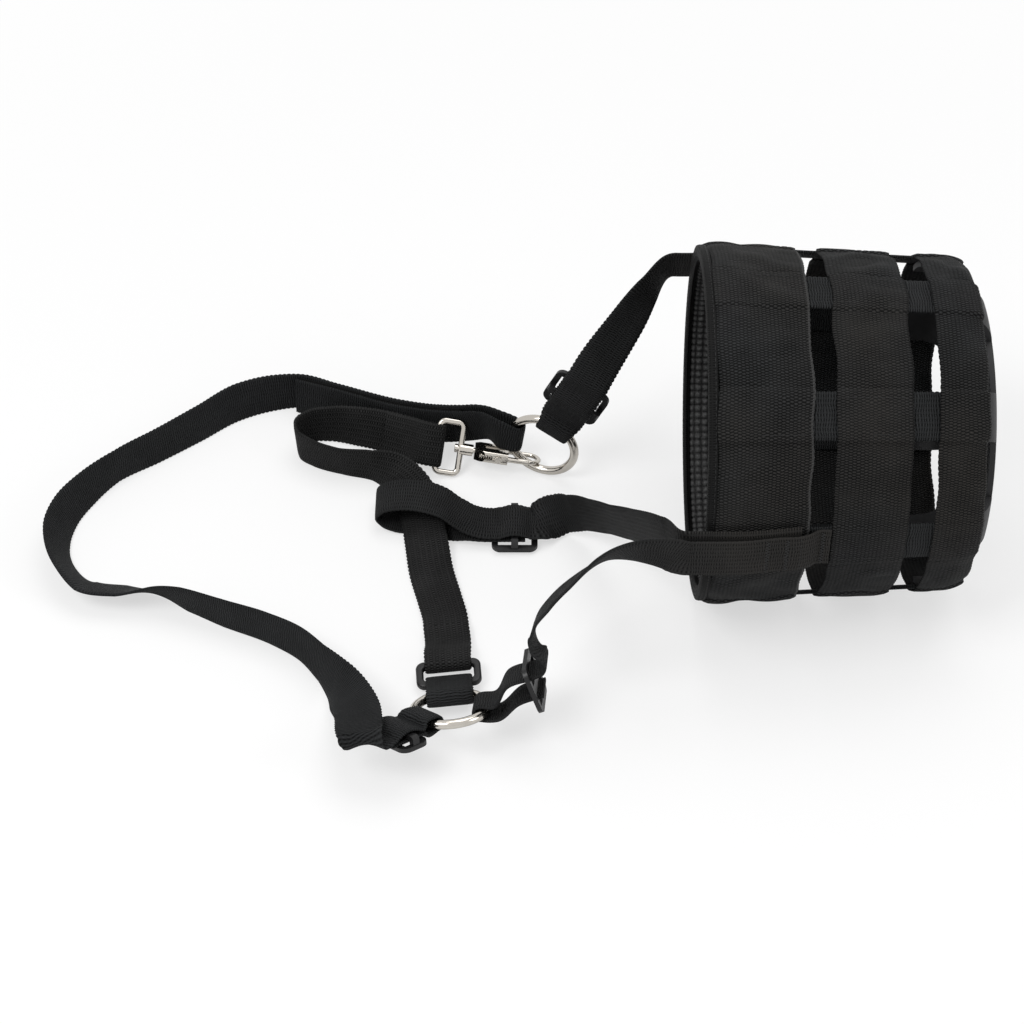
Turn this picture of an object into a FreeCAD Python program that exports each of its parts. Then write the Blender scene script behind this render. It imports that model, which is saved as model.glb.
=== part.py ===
import FreeCAD, Part
import math
import os

import Sketcher
from FreeCAD import Matrix, Placement, Rotation, Vector

# Grazing muzzle with a webbing halter, lying on its side as it does when it is put down.
# Millimetres. The origin is the centre of the mouth, +X runs along the basket to its rubber
# base, +Z is up and the floor lies at z = -floor_drop. The near side is -Y.

os.makedirs("parts", exist_ok=True)
doc = FreeCAD.newDocument("basket_muzzle")
sheet = doc.addObject("Spreadsheet::Sheet", "Sizes")

# ---------------------------------------------------------------- driving sizes
SIZES = {
    # webbing
    "strap_width": 25.0,
    "web_thick": 1.8,
    "stack_gap": 0.15,
    # basket: outer face of the lengthwise straps
    "mouth_radius": 94.5,
    "waist_radius": 88.0,
    "bend_start": 128.0,
    "strap_count": 8,
    # bands round the basket
    "mouth_band_start": 2.6,
    "mouth_band_width": 47.4,
    "lip_roll_width": 17.4,
    "lip_roll_radius": 25.0,
    "middle_band_start": 62.4,
    "middle_band_width": 38.0,
    "lower_band_start": 114.4,
    "lower_band_turn": 33.0,
    # lining and binding of the mouth
    "lining_thick": 4.0,
    "lining_start": 1.0,
    "lining_width": 45.0,
    "binding_thick": 1.3,
    "binding_reach": 7.0,
    # rubber base
    "base_bend": 18.0,
    "arm_thick": 3.0,
    "arm_start": 117.0,
    "disc_thick": 5.0,
    "disc_radius": 60.0,
    "grazing_hole": 38.0,
    "window_radius": 70.0,
    # sewn ends of the cheek and chin straps
    "anchor_lead": 1.4,
    "swing_gap": 1.95,
    "near_anchor_end": 61.6,
    "chin_anchor_end": 46.0,
    "far_anchor_end": 48.0,
    "chin_anchor_turn": 2.4,
    # rings
    "ring_outer": 44.0,
    "ring_wire": 5.0,
    "fit_gap": 0.35,
    # slides
    "slide_length": 26.0,
    "short_slide": 17.0,
    "slide_width": 34.0,
    "slide_rail": 3.6,
    "slide_bar": 4.0,
    "slide_thick": 2.4,
    "slide_corner": 5.0,
    # rectangular plastic loop
    "loop_width": 35.0,
    "loop_length": 17.6,
    "loop_wire": 4.0,
    "loop_corner": 4.5,
    # snap
    "eye_width": 33.4,
    "eye_length": 17.0,
    "eye_wire": 3.4,
    "eye_corner": 3.4,
    "swivel_pin": 3.2,
    "pin_gap": 0.05,
    "body_start": 15.0,
    "body_end": 34.5,
    "body_width": 15.4,
    "body_thick": 7.4,
    "hook_end": 54.0,
    "hook_wire": 2.7,
    "hook_reach": 5.9,
    "bolt_wire": 3.2,
    # hook-and-loop tape
    "tape_thick": 1.1,
    # where the part rests
    "floor_drop": 97.6,
}

for row, (alias, number) in enumerate(SIZES.items(), start=1):
    sheet.set("A%d" % row, alias)
    sheet.set("B%d" % row, "%g" % number)
    sheet.setAlias("B%d" % row, alias)
doc.recompute()


class Size:
    """A value with the expression that gives it, so one formula draws and binds a sketch."""

    def __init__(self, value, text):
        self.value = float(value)
        self.text = text

    def join(self, other, sign, value):
        return Size(value, "(%s %s %s)" % (self.text, sign, other.text))

    def __add__(self, other):
        other = size(other)
        return self.join(other, "+", self.value + other.value)

    def __sub__(self, other):
        other = size(other)
        return self.join(other, "-", self.value - other.value)

    def __mul__(self, other):
        other = size(other)
        return self.join(other, "*", self.value * other.value)

    def __truediv__(self, other):
        other = size(other)
        return self.join(other, "/", self.value / other.value)

    def sine(self):
        return Size(math.sin(math.radians(self.value)), "sin(%s * 1deg)" % self.text)

    def cosine(self):
        return Size(math.cos(math.radians(self.value)), "cos(%s * 1deg)" % self.text)


def size(name):
    """The Size for a sheet alias, or for a plain number."""
    if isinstance(name, Size):
        return name
    if isinstance(name, str):
        return Size(sheet.get(name), "Sizes.%s" % name)
    return Size(name, "%g" % name)


def mm(name):
    return float(sheet.get(name))


# ---------------------------------------------------------------- sketches and bodies
def plane_of(body, role):
    for feature in body.Origin.OriginFeatures:
        if feature.Role == role:
            return feature
    raise RuntimeError("no plane " + role)


def new_body(name):
    body = doc.addObject("PartDesign::Body", name)
    body.Label = name
    return body


def new_sketch(body, name, role):
    sketch = body.newObject("Sketcher::SketchObject", body.Name + "_" + name)
    sketch.AttachmentSupport = (plane_of(body, role), [""])
    sketch.MapMode = "FlatFace"
    return sketch


def bind(sketch, kind, places, value):
    """Add a constraint whose value follows an expression."""
    index = sketch.addConstraint(Sketcher.Constraint(kind, *places, value.value))
    sketch.setExpression("Constraints[%d]" % index, value.text)


def outline(sketch, corners):
    """Closed outline through corners (x, y) or (x, y, radius). A radius makes the edge that
    starts there an arc: positive turns left along the outline, negative turns right."""
    count = len(corners)
    ends = []
    for i, corner in enumerate(corners):
        after = corners[(i + 1) % count]
        start = Vector(corner[0].value, corner[1].value, 0)
        stop = Vector(after[0].value, after[1].value, 0)
        if len(corner) == 2:
            index = sketch.addGeometry(Part.LineSegment(start, stop))
            ends.append((index, 1, 2))
            continue
        radius = corner[2]
        half = (stop - start) * 0.5
        rise = math.sqrt(max(radius.value ** 2 - half.Length ** 2, 0.0))
        side = 1.0 if radius.value > 0 else -1.0
        centre = start + half + Vector(-half.y, half.x, 0).normalize() * rise * side
        first, last = (start, stop) if side > 0 else (stop, start)
        turn = [math.atan2(p.y - centre.y, p.x - centre.x) for p in (first, last)]
        if turn[1] < turn[0]:
            turn[1] += 2 * math.pi
        circle = Part.Circle(centre, Vector(0, 0, 1), abs(radius.value))
        index = sketch.addGeometry(Part.ArcOfCircle(circle, *turn))
        ends.append((index, 1, 2) if side > 0 else (index, 2, 1))
    for i in range(count):
        here, after = ends[i], ends[(i + 1) % count]
        sketch.addConstraint(Sketcher.Constraint("Coincident", here[0], here[2], after[0], after[1]))
    for corner, end in zip(corners, ends):
        bind(sketch, "DistanceX", (-1, 1, end[0], end[1]), corner[0])
        bind(sketch, "DistanceY", (-1, 1, end[0], end[1]), corner[1])
        if len(corner) == 3:
            bow = corner[2] if corner[2].value > 0 else size(0) - corner[2]
            bind(sketch, "Radius", (end[0],), bow)
    return sketch


def revolve(body, corners, angle=360.0, cut=False):
    """Turn a profile drawn as (x, radius) about the basket's axis, X."""
    sketch = outline(new_sketch(body, "profile", "XZ_Plane"), corners)
    kind = "PartDesign::Groove" if cut else "PartDesign::Revolution"
    feature = body.newObject(kind, body.Name + "_turned")
    feature.Profile = sketch
    feature.ReferenceAxis = (sketch, ["H_Axis"])
    feature.Angle = angle
    feature.Midplane = angle < 360.0
    doc.recompute()
    return feature


def pad(body, sketch, height, both_ways=True):
    feature = body.newObject("PartDesign::Pad", sketch.Name + "_pad")
    feature.Profile = sketch
    feature.setExpression("Length", height.text)
    feature.Midplane = both_ways
    doc.recompute()
    return feature


def pocket(body, sketch, depth=None):
    """Cut a sketch right through, or to a depth measured evenly both ways."""
    before = body.Shape.Volume
    feature = body.newObject("PartDesign::Pocket", sketch.Name + "_cut")
    feature.Profile = sketch
    feature.Midplane = True
    if depth is None:
        feature.Type = 1
    else:
        feature.setExpression("Length", depth.text)
    doc.recompute()
    if not body.Shape.Volume < before - 1e-3:
        raise RuntimeError(sketch.Name + " cut nothing")
    return feature


def rectangle(sketch, x_low, x_high, y_low, y_high):
    return outline(sketch, [(x_low, y_low), (x_high, y_low), (x_high, y_high), (x_low, y_high)])


def rounded(sketch, length, width, corner):
    """Rounded rectangle about the origin, length along x and width along y."""
    x, y = length / 2, width / 2
    lx, ly = x - corner, y - corner
    zero = size(0)
    return outline(sketch, [
        (zero - lx, zero - y), (lx, zero - y, corner), (x, zero - ly), (x, ly, corner),
        (lx, y), (zero - lx, y, corner), (zero - x, ly), (zero - x, zero - ly, corner)])


# ---------------------------------------------------------------- basket
half = size("strap_width") / 2
web = size("web_thick")
gap = size("stack_gap")
lap = web + gap
bend_start = size("bend_start")
base_bend = size("base_bend")
taper = (size("mouth_radius") - "waist_radius") / bend_start
bend_centre = size("waist_radius") - lap - base_bend
base_face = bend_start + base_bend


def wall(x, layer=0.0):
    """Radius of the outer face of the lengthwise straps at x, moved out by layer."""
    return size("mouth_radius") - taper * x + layer


def strip(name, corners, width, turn, spread=30.0):
    """A strap that follows a profile of the basket, cut to an even width and turned about X."""
    body = new_body(name)
    revolve(body, corners, spread)
    side = size("mouth_radius")
    sides = new_sketch(body, "sides", "XY_Plane")
    far = size(-20)
    zero = size(0)
    rectangle(sides, far, side * 2, width / 2, side)
    rectangle(sides, far, side * 2, zero - side, zero - width / 2)
    pocket(body, sides)
    body.Placement = Placement(Vector(), Rotation(Vector(1, 0, 0), turn))
    return body


def around_bend(x, inner, turn_angle):
    """Profile from x along the wall and round the bend, web_thick outside radius inner."""
    end_in = base_bend + inner
    end_out = end_in + web
    sine, cosine = turn_angle.sine(), turn_angle.cosine()
    zero = size(0)
    low = inner - lap
    return [
        (x, wall(x, low)), (bend_start, wall(bend_start, low), zero - end_in),
        (bend_start + end_in * sine, bend_centre + end_in * cosine),
        (bend_start + end_out * sine, bend_centre + end_out * cosine, end_out),
        (bend_start, wall(bend_start, low + web)), (x, wall(x, low + web))]


def make_straps():
    count = int(mm("strap_count"))
    turn_angle = size("lower_band_turn") - 3
    for k in range(count):
        strip("basket_strap_%d" % (k + 1), around_bend(size(-0.6), gap, turn_angle),
              size("strap_width"), 360.0 * k / count)


def make_bands():
    start = size("mouth_band_start")
    stop = start + "mouth_band_width"
    roll = start + "lip_roll_width"
    zero = size(0)
    band = new_body("mouth_band")
    revolve(band, [
        (start, wall(start, gap)), (stop, wall(stop, gap)), (stop, wall(stop, lap)),
        (roll, wall(roll, lap), size("lip_roll_radius")), (start, wall(start, lap))])
    start = size("middle_band_start")
    stop = start + "middle_band_width"
    band = new_body("middle_band")
    revolve(band, [
        (start, wall(start, gap)), (stop, wall(stop, gap)),
        (stop, wall(stop, lap)), (start, wall(start, lap))])
    band = new_body("lower_band")
    revolve(band, around_bend(size("lower_band_start"), lap + gap, size("lower_band_turn")))


def make_lining():
    start = size("lining_start")
    stop = start + "lining_width"
    outer = size(0) - lap
    inner = outer - "lining_thick"
    body = new_body("mouth_lining")
    revolve(body, [
        (start, wall(start, inner)), (stop, wall(stop, inner)),
        (stop, wall(stop, outer)), (start, wall(start, outer))])
    # The binding is a U that holds the lining, the strap ends and the band's edge.
    thick = size("binding_thick")
    floor_x = size(-0.9)
    front = floor_x - thick
    reach = front + "binding_reach"
    lip = size("mouth_band_start") - gap
    body = new_body("rim_binding")

    def top(x):
        return wall(x, gap)

    def bottom(x):
        return wall(x, inner - gap)

    revolve(body, [
        (front, bottom(front) + 1), (front + 1, bottom(front) - thick), (reach, bottom(reach) - thick),
        (reach, bottom(reach) - gap), (floor_x, bottom(floor_x) - gap), (floor_x, top(floor_x) + gap),
        (lip, top(lip) + gap), (lip, top(lip) + thick), (front + 1, top(front) + thick), (front, top(front) - 1)])


def make_base():
    """Moulded star: a cup of revolution with a window between each pair of arms."""
    arm_in = base_bend - "arm_thick"
    low = size(0) - lap
    start = size("arm_start")
    hole = size("grazing_hole") / 2
    zero = size(0)
    disc_in = base_face - "disc_thick"
    arm_face = base_face - "arm_thick"
    disc = size("disc_radius")
    body = new_body("rubber_base")
    revolve(body, [
        (start, wall(start, low - "arm_thick")),
        (bend_start, bend_centre + arm_in, zero - arm_in),
        (arm_face, bend_centre), (arm_face, disc), (disc_in, disc - 2),
        (disc_in, hole + 6), (disc_in - 2, hole + 4), (disc_in - 2, hole + 1), (disc_in - 1, hole),
        (base_face - 1, hole), (base_face, hole + 1), (base_face, bend_centre, base_bend),
        (bend_start, bend_centre + base_bend), (start, wall(start, low))])
    count = int(mm("strap_count"))
    turn = math.pi / count
    # One window lies between the arm at the top and the next: its sides run beside the arms.
    reach = mm("mouth_radius") + 12
    inner = mm("window_radius")
    side = mm("strap_width") / 2
    base = math.asin(side / inner)
    corners = []
    for angle in (math.pi / 2 - base, math.pi / 2 - 2 * turn + base):
        corners.append(Vector(inner * math.cos(angle), inner * math.sin(angle), 0))
    away = [Vector(side, math.sqrt(reach ** 2 - side ** 2), 0)]
    mirror = math.pi / 2 - 2 * turn + math.asin(side / reach)
    away.append(Vector(reach * math.cos(mirror), reach * math.sin(mirror), 0))
    sketch = new_sketch(body, "window", "YZ_Plane")
    points = [corners[0], away[0], away[1], corners[1]]
    for a, b in zip(points[:3], points[1:]):
        sketch.addGeometry(Part.LineSegment(a, b))
    middle = (math.pi / 2 - turn)
    bow = Vector(inner * math.cos(middle), inner * math.sin(middle), 0)
    sketch.addGeometry(Part.Arc(corners[1], bow, corners[0]))
    window = pocket(body, sketch)
    pattern = body.newObject("PartDesign::PolarPattern", "rubber_base_windows")
    pattern.Originals = [window]
    pattern.Axis = (sketch, ["N_Axis"])
    pattern.Angle = 360
    pattern.setExpression("Occurrences", "Sizes.strap_count")
    body.Tip = pattern
    doc.recompute()


NEAR_TURN = 90.0
FAR_TURN = -70.0


def make_anchors():
    lead = size(0) - "anchor_lead"
    start = size("mouth_band_start")
    roll = start + "lip_roll_width"
    stop = start + "mouth_band_width"
    crest = wall(start, lap + gap) + 1.1

    def over_band(end, layer):
        return [
            (lead, crest + layer), (roll, crest + layer), (end, wall(end, lap + gap + layer)),
            (end, wall(end, lap + lap + layer)), (roll, crest + layer + web), (lead, crest + layer + web)]

    zero = size(0)
    width = size("strap_width")
    strip("chin_anchor", over_band(size("chin_anchor_end"), zero), width, NEAR_TURN - mm("chin_anchor_turn"))
    strip("far_cheek_anchor", over_band(size("far_anchor_end"), zero), width, FAR_TURN)
    end = size("near_anchor_end")
    foot = stop + 5
    low = gap + gap
    chin_end = size("chin_anchor_end") + 1
    strip("near_cheek_anchor", [
        (lead, crest + lap), (roll, crest + lap), (chin_end, wall(chin_end, lap + lap + gap)),
        (stop + 1, wall(stop, lap + gap)), (foot, wall(foot, low)), (end, wall(end, low)),
        (end, wall(end, low + web)), (foot, wall(foot, low + web)), (stop + 2, wall(stop, lap + lap)),
        (chin_end, wall(chin_end, lap + lap + lap)), (roll, crest + lap + web), (lead, crest + lap + web)],
        width, NEAR_TURN)


# ---------------------------------------------------------------- webbing that runs freely
def unit(x, y, z):
    return Vector(x, y, z).normalize()


FLOOR = -mm("floor_drop") + 0.1
WEB = mm("web_thick")
WIDTH = mm("strap_width")
CURVE_STEP = 7.0


def tangents(points):
    """Chord-weighted tangent at each point of a smooth line through them."""
    result = []
    last = len(points) - 1
    for i in range(len(points)):
        if i == 0:
            result.append((points[1] - points[0]).normalize())
        elif i == last:
            result.append((points[last] - points[last - 1]).normalize())
        else:
            before = points[i] - points[i - 1]
            after = points[i + 1] - points[i]
            a, b = before.Length, after.Length
            result.append((before * (b / a) + after * (a / b)) * (1.0 / (a + b)))
    return result


def smooth(stations):
    """Fill in a smooth line through stations (point, width direction, share of full width)."""
    points = [station[0] for station in stations]
    slopes = tangents(points)
    filled = []
    for i in range(len(points) - 1):
        chord = (points[i + 1] - points[i]).Length
        pieces = max(1, int(math.ceil(chord / CURVE_STEP)))
        for k in range(pieces):
            f = k / pieces
            a = (1 + 2 * f) * (1 - f) ** 2
            b = f * (1 - f) ** 2 * chord
            c = f * f * (3 - 2 * f)
            d = f * f * (f - 1) * chord
            point = points[i] * a + slopes[i] * b + points[i + 1] * c + slopes[i + 1] * d
            across = stations[i][1] * (1 - f) + stations[i + 1][1] * f
            filled.append((point, across, stations[i][2] * (1 - f) + stations[i + 1][2] * f))
    filled.append(stations[-1])
    return filled


def frames(stations):
    """Point, run, width and face directions and share of width at each station."""
    slopes = tangents([station[0] for station in stations])
    result = []
    for (point, across, share), slope in zip(stations, slopes):
        run = Vector(slope).normalize()
        width = (across - run * across.dot(run)).normalize()
        result.append((point, run, width, run.cross(width), share))
    return result


def skin(rings):
    """Solid of flat triangles through closed rings of points, one after another."""
    count = len(rings[0])
    corners = [corner for ring in rings for corner in ring]
    facets = []
    for i in range(len(rings) - 1):
        for k in range(count):
            a, b = i * count + k, i * count + (k + 1) % count
            # Opposite sides are split along matching diagonals, so a thin strap stays open.
            if 2 * k < count:
                facets += [(a, b, b + count), (a, b + count, a + count)]
            else:
                facets += [(a, b, a + count), (b, b + count, a + count)]
    last = (len(rings) - 1) * count
    for k in range(1, count - 1):
        facets += [(0, k + 1, k), (last, last + k, last + k + 1)]
    shell = Part.Shape()
    shell.makeShapeFromMesh((corners, facets), 0.001)
    solid = Part.Solid(shell.Shells[0] if shell.Shells else Part.Shell(shell.Faces))
    if solid.Volume < 0:
        solid = Part.Solid(shell.Shells[0].reversed())
    return solid


def ribbon(stations, thick=None, width=None):
    """Solid strap through stations."""
    thick = thick or WEB
    width = width or WIDTH
    for here, after in zip(stations, stations[1:]):
        if here[1].dot(after[1]) < 0:
            raise RuntimeError("a strap turns over near %s" % here[0])
    rings = []
    for point, run, across, face, share in frames(smooth(stations)):
        w, n = across * (width * share / 2), face * (thick / 2)
        rings.append([point - w - n, point + w - n, point + w + n, point - w + n])
    for here, after in zip(rings, rings[1:]):
        run = sum((b - a for a, b in zip(here, after)), Vector())
        if any((b - a).dot(run) < 0 for a, b in zip(here, after)):
            print("cross sections meet near", here[0])
    return skin(rings)


def turn_back(middle, spread):
    """Two layers that part about a middle line, joined by a fold round its first station.
    spread gives each station's half distance, or the upper and under layer's own. Returns the
    stations from the far end of the under layer, round the fold, to that of the upper layer."""
    upper, under = [], []
    for (point, run, across, face, share), rise in zip(frames(middle), spread):
        above, below = rise if isinstance(rise, tuple) else (rise, rise)
        upper.append((point + face * above, across, share))
        under.append((point - face * below, across, share))
    point, run, across, face, share = frames(middle)[0]
    fold = []
    for k in range(1, 8):
        angle = math.pi * k / 8
        spot = point - face * spread[0] * math.cos(angle) - run * spread[0] * math.sin(angle)
        fold.append((spot, across, share))
    return list(reversed(under)) + fold + upper


def fold_across(centre, before, after, face, radius, share=1.0):
    """Stations of a slanting fold: the strap runs along before on the face side, rolls over
    an edge and runs along after underneath."""
    edge = (before + after).normalize()
    over = (before - after).normalize()
    along, around = before.dot(edge), before.dot(over)
    result = []
    for k in range(9):
        angle = math.pi * k / 8
        travel = (angle - math.pi / 2) * radius * along / around
        spot = centre + edge * travel + face * radius * math.cos(angle) + over * radius * math.sin(angle)
        tangent = over * math.cos(angle) - face * math.sin(angle)
        result.append((spot, edge * -around + tangent * along, share))
    return result


def place(name, shape, placement=None):
    piece = doc.addObject("Part::Feature", name)
    piece.Label = name
    piece.Shape = shape
    if placement:
        piece.Placement = placement.multiply(shape.Placement)
    return piece


def axes(origin, x, y, z):
    """Placement whose local axes are the three directions given."""
    x, y, z = (Vector(v).normalize() for v in (x, y, z))
    turn = Matrix(x.x, y.x, z.x, 0, x.y, y.y, z.y, 0, x.z, y.z, z.z, 0, 0, 0, 0, 1)
    return Placement(Vector(origin), Placement(turn).Rotation)


# Rings: centre, direction in the ring's plane that runs level, and the ring's axis.
RING_MEAN = (mm("ring_outer") - mm("ring_wire")) / 2
FAR_CENTRE = Vector(-83, 62.5, FLOOR + mm("ring_outer") / 2 + 0.2)
FAR_LEVEL = unit(0.940, -0.342, 0)
FAR_AXIS = unit(0.342, 0.940, 0)
FAR_RISE = Vector(0, 0, 1)
NEAR_CENTRE = Vector(-132.5, -134.0, FLOOR + 19.1)
NEAR_LEVEL = unit(0.98, 0.20, 0)
NEAR_RISE = (unit(0.178, -0.885, 0.43) - NEAR_LEVEL * NEAR_LEVEL.dot(unit(0.178, -0.885, 0.43))).normalize()
NEAR_AXIS = NEAR_LEVEL.cross(NEAR_RISE)

# A strap folded round a ring: half the distance between its layers, and how far from the
# ring's centre the fold turns, so that the curved wire clears it over the strap's width.
RING_SPREAD = mm("ring_wire") / 2 + mm("fit_gap") + WEB / 2
GATHER = 0.8


def fold_reach(share):
    """Distance from the ring's centre to the fold of a strap gathered to a share of its width."""
    chord = math.sqrt(RING_MEAN ** 2 - (WIDTH * share / 2) ** 2)
    return chord - mm("ring_wire") / 2 * RING_MEAN / chord + mm("ring_wire") / 2


RING_EXIT = mm("ring_outer") / 2 + 2.0
# Layers that lie together, and the upper one's height where it passes over a slide's bar.
CLOSE_SPREAD = WEB / 2 + 0.25
OVER_BAR = CLOSE_SPREAD + mm("slide_thick") + 0.1
BAR_LEAD = (9.0, 5.6, 2.9)


def ring_side(centre, level, rise, degrees):
    """Outward direction and wire direction at an angle round a ring."""
    c, s = math.cos(math.radians(degrees)), math.sin(math.radians(degrees))
    return level * c + rise * s, level * -s + rise * c


def points(rows):
    return [(Vector(*row[:3]), unit(*row[3:]), 1.0) for row in rows]


# Far cheek strap: ring, slide, up to the far side of the mouth.
FAR_OUT, FAR_WIRE = ring_side(FAR_CENTRE, FAR_LEVEL, FAR_RISE, 65)
FAR_SLIDE_AT = 44.0
FAR_CHEEK_ROUTE = points([
    (-52.6, 58.0, -9.9, -0.80, 0.20, 0.55),
    (-37.8, 70.0, 9.2, -0.55, 0.0, 0.80),
    (-25.3, 80.0, 25.9, -0.28, -0.20, 0.93),
])

# Crown strap: far ring, folded back on itself, round behind the ears, slide, near ring.
CROWN_OUT, CROWN_WIRE = ring_side(FAR_CENTRE, FAR_LEVEL, FAR_RISE, 172)
CROWN_DOUBLE = points([
    (-117, 80.4, -74.0, 0.02, -0.22, 1),
    (-127, 83.4, -77.4, 0, -0.10, 1),
    (-140, 87.4, -81.6, 0, 0, 1),
    (-167, 95, -84.3, 0, 0.02, 1),
    (-203, 108, -84.5, -0.04, 0.12, 1),
    (-228, 117, -84.5, -0.10, 0.14, 1),
])
CROWN_ROUTE = points([
    (-243, 118, -85.2, -0.16, 0.15, 1),
    (-263, 110, -85.2, -0.12, 0.20, 1),
    (-285, 91, -85.2, -0.02, 0.18, 1),
    (-307, 72.5, -85.2, 0, 0.10, 1),
    (-329, 55, -85.0, -0.05, -0.05, 1),
    (-343, 38, -85.2, -0.30, -0.10, 1),
    (-353.5, 19, -85.6, -0.42, 0, 1),
    (-356.5, 0, -85.8, -0.50, 0, 0.92),
    (-350, -22, -86.4, -0.45, -0.40, 0.85),
    (-336, -37, -88.4, -0.1, -0.85, 0.55),
    (-316, -40.5, -88.6, 0, -0.85, 0.58),
    (-298, -43, -86.6, 0.04, -0.62, 0.80),
    (-280, -50.5, -84.8, 0.10, -0.28, 0.98),
    (-258, -60.5, -84.9, 0.06, -0.10, 1),
    (-232, -71.5, -85.2, 0, 0.02, 1),
    (-214, -83, -85.2, 0.05, 0.12, 1),
    (-202, -97, -85.0, 0.20, 0.14, 0.95),
    (-193, -111, -82.5, 0.52, 0.16, 0.84),
    (-186, -126, -77.5, 0.84, 0.18, 0.50),
    (-181, -140, -71.5, 0.95, 0.22, 0.18),
])
CROWN_NEAR_OUT, CROWN_NEAR_WIRE = ring_side(NEAR_CENTRE, NEAR_LEVEL, NEAR_RISE, 150)
CROWN_NEAR_WIRE = CROWN_NEAR_WIRE * -1
CROWN_NEAR_FACE = CROWN_NEAR_OUT.cross(CROWN_NEAR_WIRE)
CROWN_SLIDE_AT = 36.0
CROWN_FOLD_AT = 55.0
CROWN_FOLD = 2.7
CROWN_RUN = unit(0.25, -0.90, 0.36)

# Near cheek strap: near ring, slide across the run, up to the near side of the mouth.
NEAR_OUT, NEAR_WIRE = ring_side(NEAR_CENTRE, NEAR_LEVEL, NEAR_RISE, 14)
NEAR_WIRE = NEAR_WIRE * -1
NEAR_RUN = (NEAR_OUT - NEAR_AXIS * 0.30).normalize()
NEAR_FACE = NEAR_RUN.cross(NEAR_WIRE)
NEAR_SLIDE_AT = 47.0
SLOT_PITCH = 5.6
NEAR_CHEEK_ROUTE = points([
    (-84.2, -125.9, -53.6, 0.06, 0.91, -0.42),
    (-83.0, -124.8, -50.8, 0.06, 0.91, -0.42),
    (-84.6, -123.3, -48.2, 0.06, 0.91, -0.42),
    (-88.0, -120.4, -45.9, 0.07, 0.90, -0.44),
    (-89.8, -116.0, -42.6, 0.09, 0.88, -0.46),
    (-88.2, -111.6, -36.8, 0.12, 0.88, -0.46),
    (-81.0, -106.0, -28.2, 0.15, 0.90, -0.40),
    (-68.5, -102.6, -14.6, 0.15, 0.84, -0.52),
    (-51.5, -100.8, 0.6, 0.06, 0.58, -0.80),
    (-35.0, -101.4, 5.6, 0, 0.30, -0.95),
    (-20.0, -101.5, 3.6, 0, 0.08, -1),
])

# Chin strap: a flat loop round the throat strap, slide, up to the near side of the mouth.
CHIN_SLIDE = Vector(-99, 13, FLOOR + 6.4)
CHIN_ROUTE = points([
    (-80.5, 15.5, -88.4, -0.06, 0.80, 0.60),
    (-73.0, 15.8, -84.8, -0.15, 0.35, 0.93),
    (-64.5, 9.5, -77.8, -0.24, 0.14, 0.96),
    (-52.5, -9.5, -61.5, -0.38, 0.12, 0.90),
    (-42.0, -34.0, -41.5, -0.42, 0.12, 0.88),
    (-31.5, -59.5, -20.5, -0.32, 0.14, 0.92),
    (-20.5, -82.5, -3.6, -0.12, 0.06, 0.98),
])
CHIN_UNDER = points([
    (-118, 13.2, FLOOR + 5.2, 0, 1, 0),
    (-124, 14.4, FLOOR + 4.8, 0, 1, 0),
    (-134, 17.6, FLOOR + 2.2, 0, 1, 0),
    (-147, 21.6, FLOOR + 1.2, 0, 1, 0),
    (-158, 23.4, FLOOR + 1.1, 0, 1, 0),
    (-167, 24.8, FLOOR + 1.4, 0, 1, 0),
    (-174, 26, FLOOR + 4.2, 0, 1, 0),
    (-177.5, 26.5, FLOOR + 9.4, 0, 1, 0),
    (-174, 26.2, FLOOR + 14.6, 0, 1, 0),
    (-165, 25.6, FLOOR + 18.0, 0, 1, 0),
    (-151, 23.6, FLOOR + 18.8, 0, 1, 0.02),
    (-140, 21, FLOOR + 16.4, 0, 1, 0.02),
    (-131, 17.5, FLOOR + 11.8, 0, 1, 0.02),
    (-124, 14.8, FLOOR + 9.1, 0, 1, 0),
    (-117, 13.3, FLOOR + 7.8, 0, 1, 0),
])

# Snap: centre of its eye, the run towards the hook, and the width of the eye.
HOOK_OUT, HOOK_WIRE = ring_side(FAR_CENTRE, FAR_LEVEL, FAR_RISE, 228)
HOOK_SPOT = FAR_CENTRE + HOOK_OUT * RING_MEAN
HOOK_REACH = 42.4
SNAP_RUN = (HOOK_SPOT - Vector(-139, 69.2, FLOOR + 14.6)).normalize()
EYE_CENTRE = HOOK_SPOT - SNAP_RUN * HOOK_REACH
EYE_WIDTH = (unit(0.15, 0.62, 0.77) - SNAP_RUN * SNAP_RUN.dot(unit(0.15, 0.62, 0.77))).normalize()
EYE_FACE = SNAP_RUN.cross(EYE_WIDTH)
# The ring's wire crosses the hook as squarely as the snap's run allows.
HOOK_FACE = (SNAP_RUN * SNAP_RUN.dot(HOOK_WIRE) - HOOK_WIRE).normalize()
HOOK_SIDE = HOOK_FACE.cross(SNAP_RUN)

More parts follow.
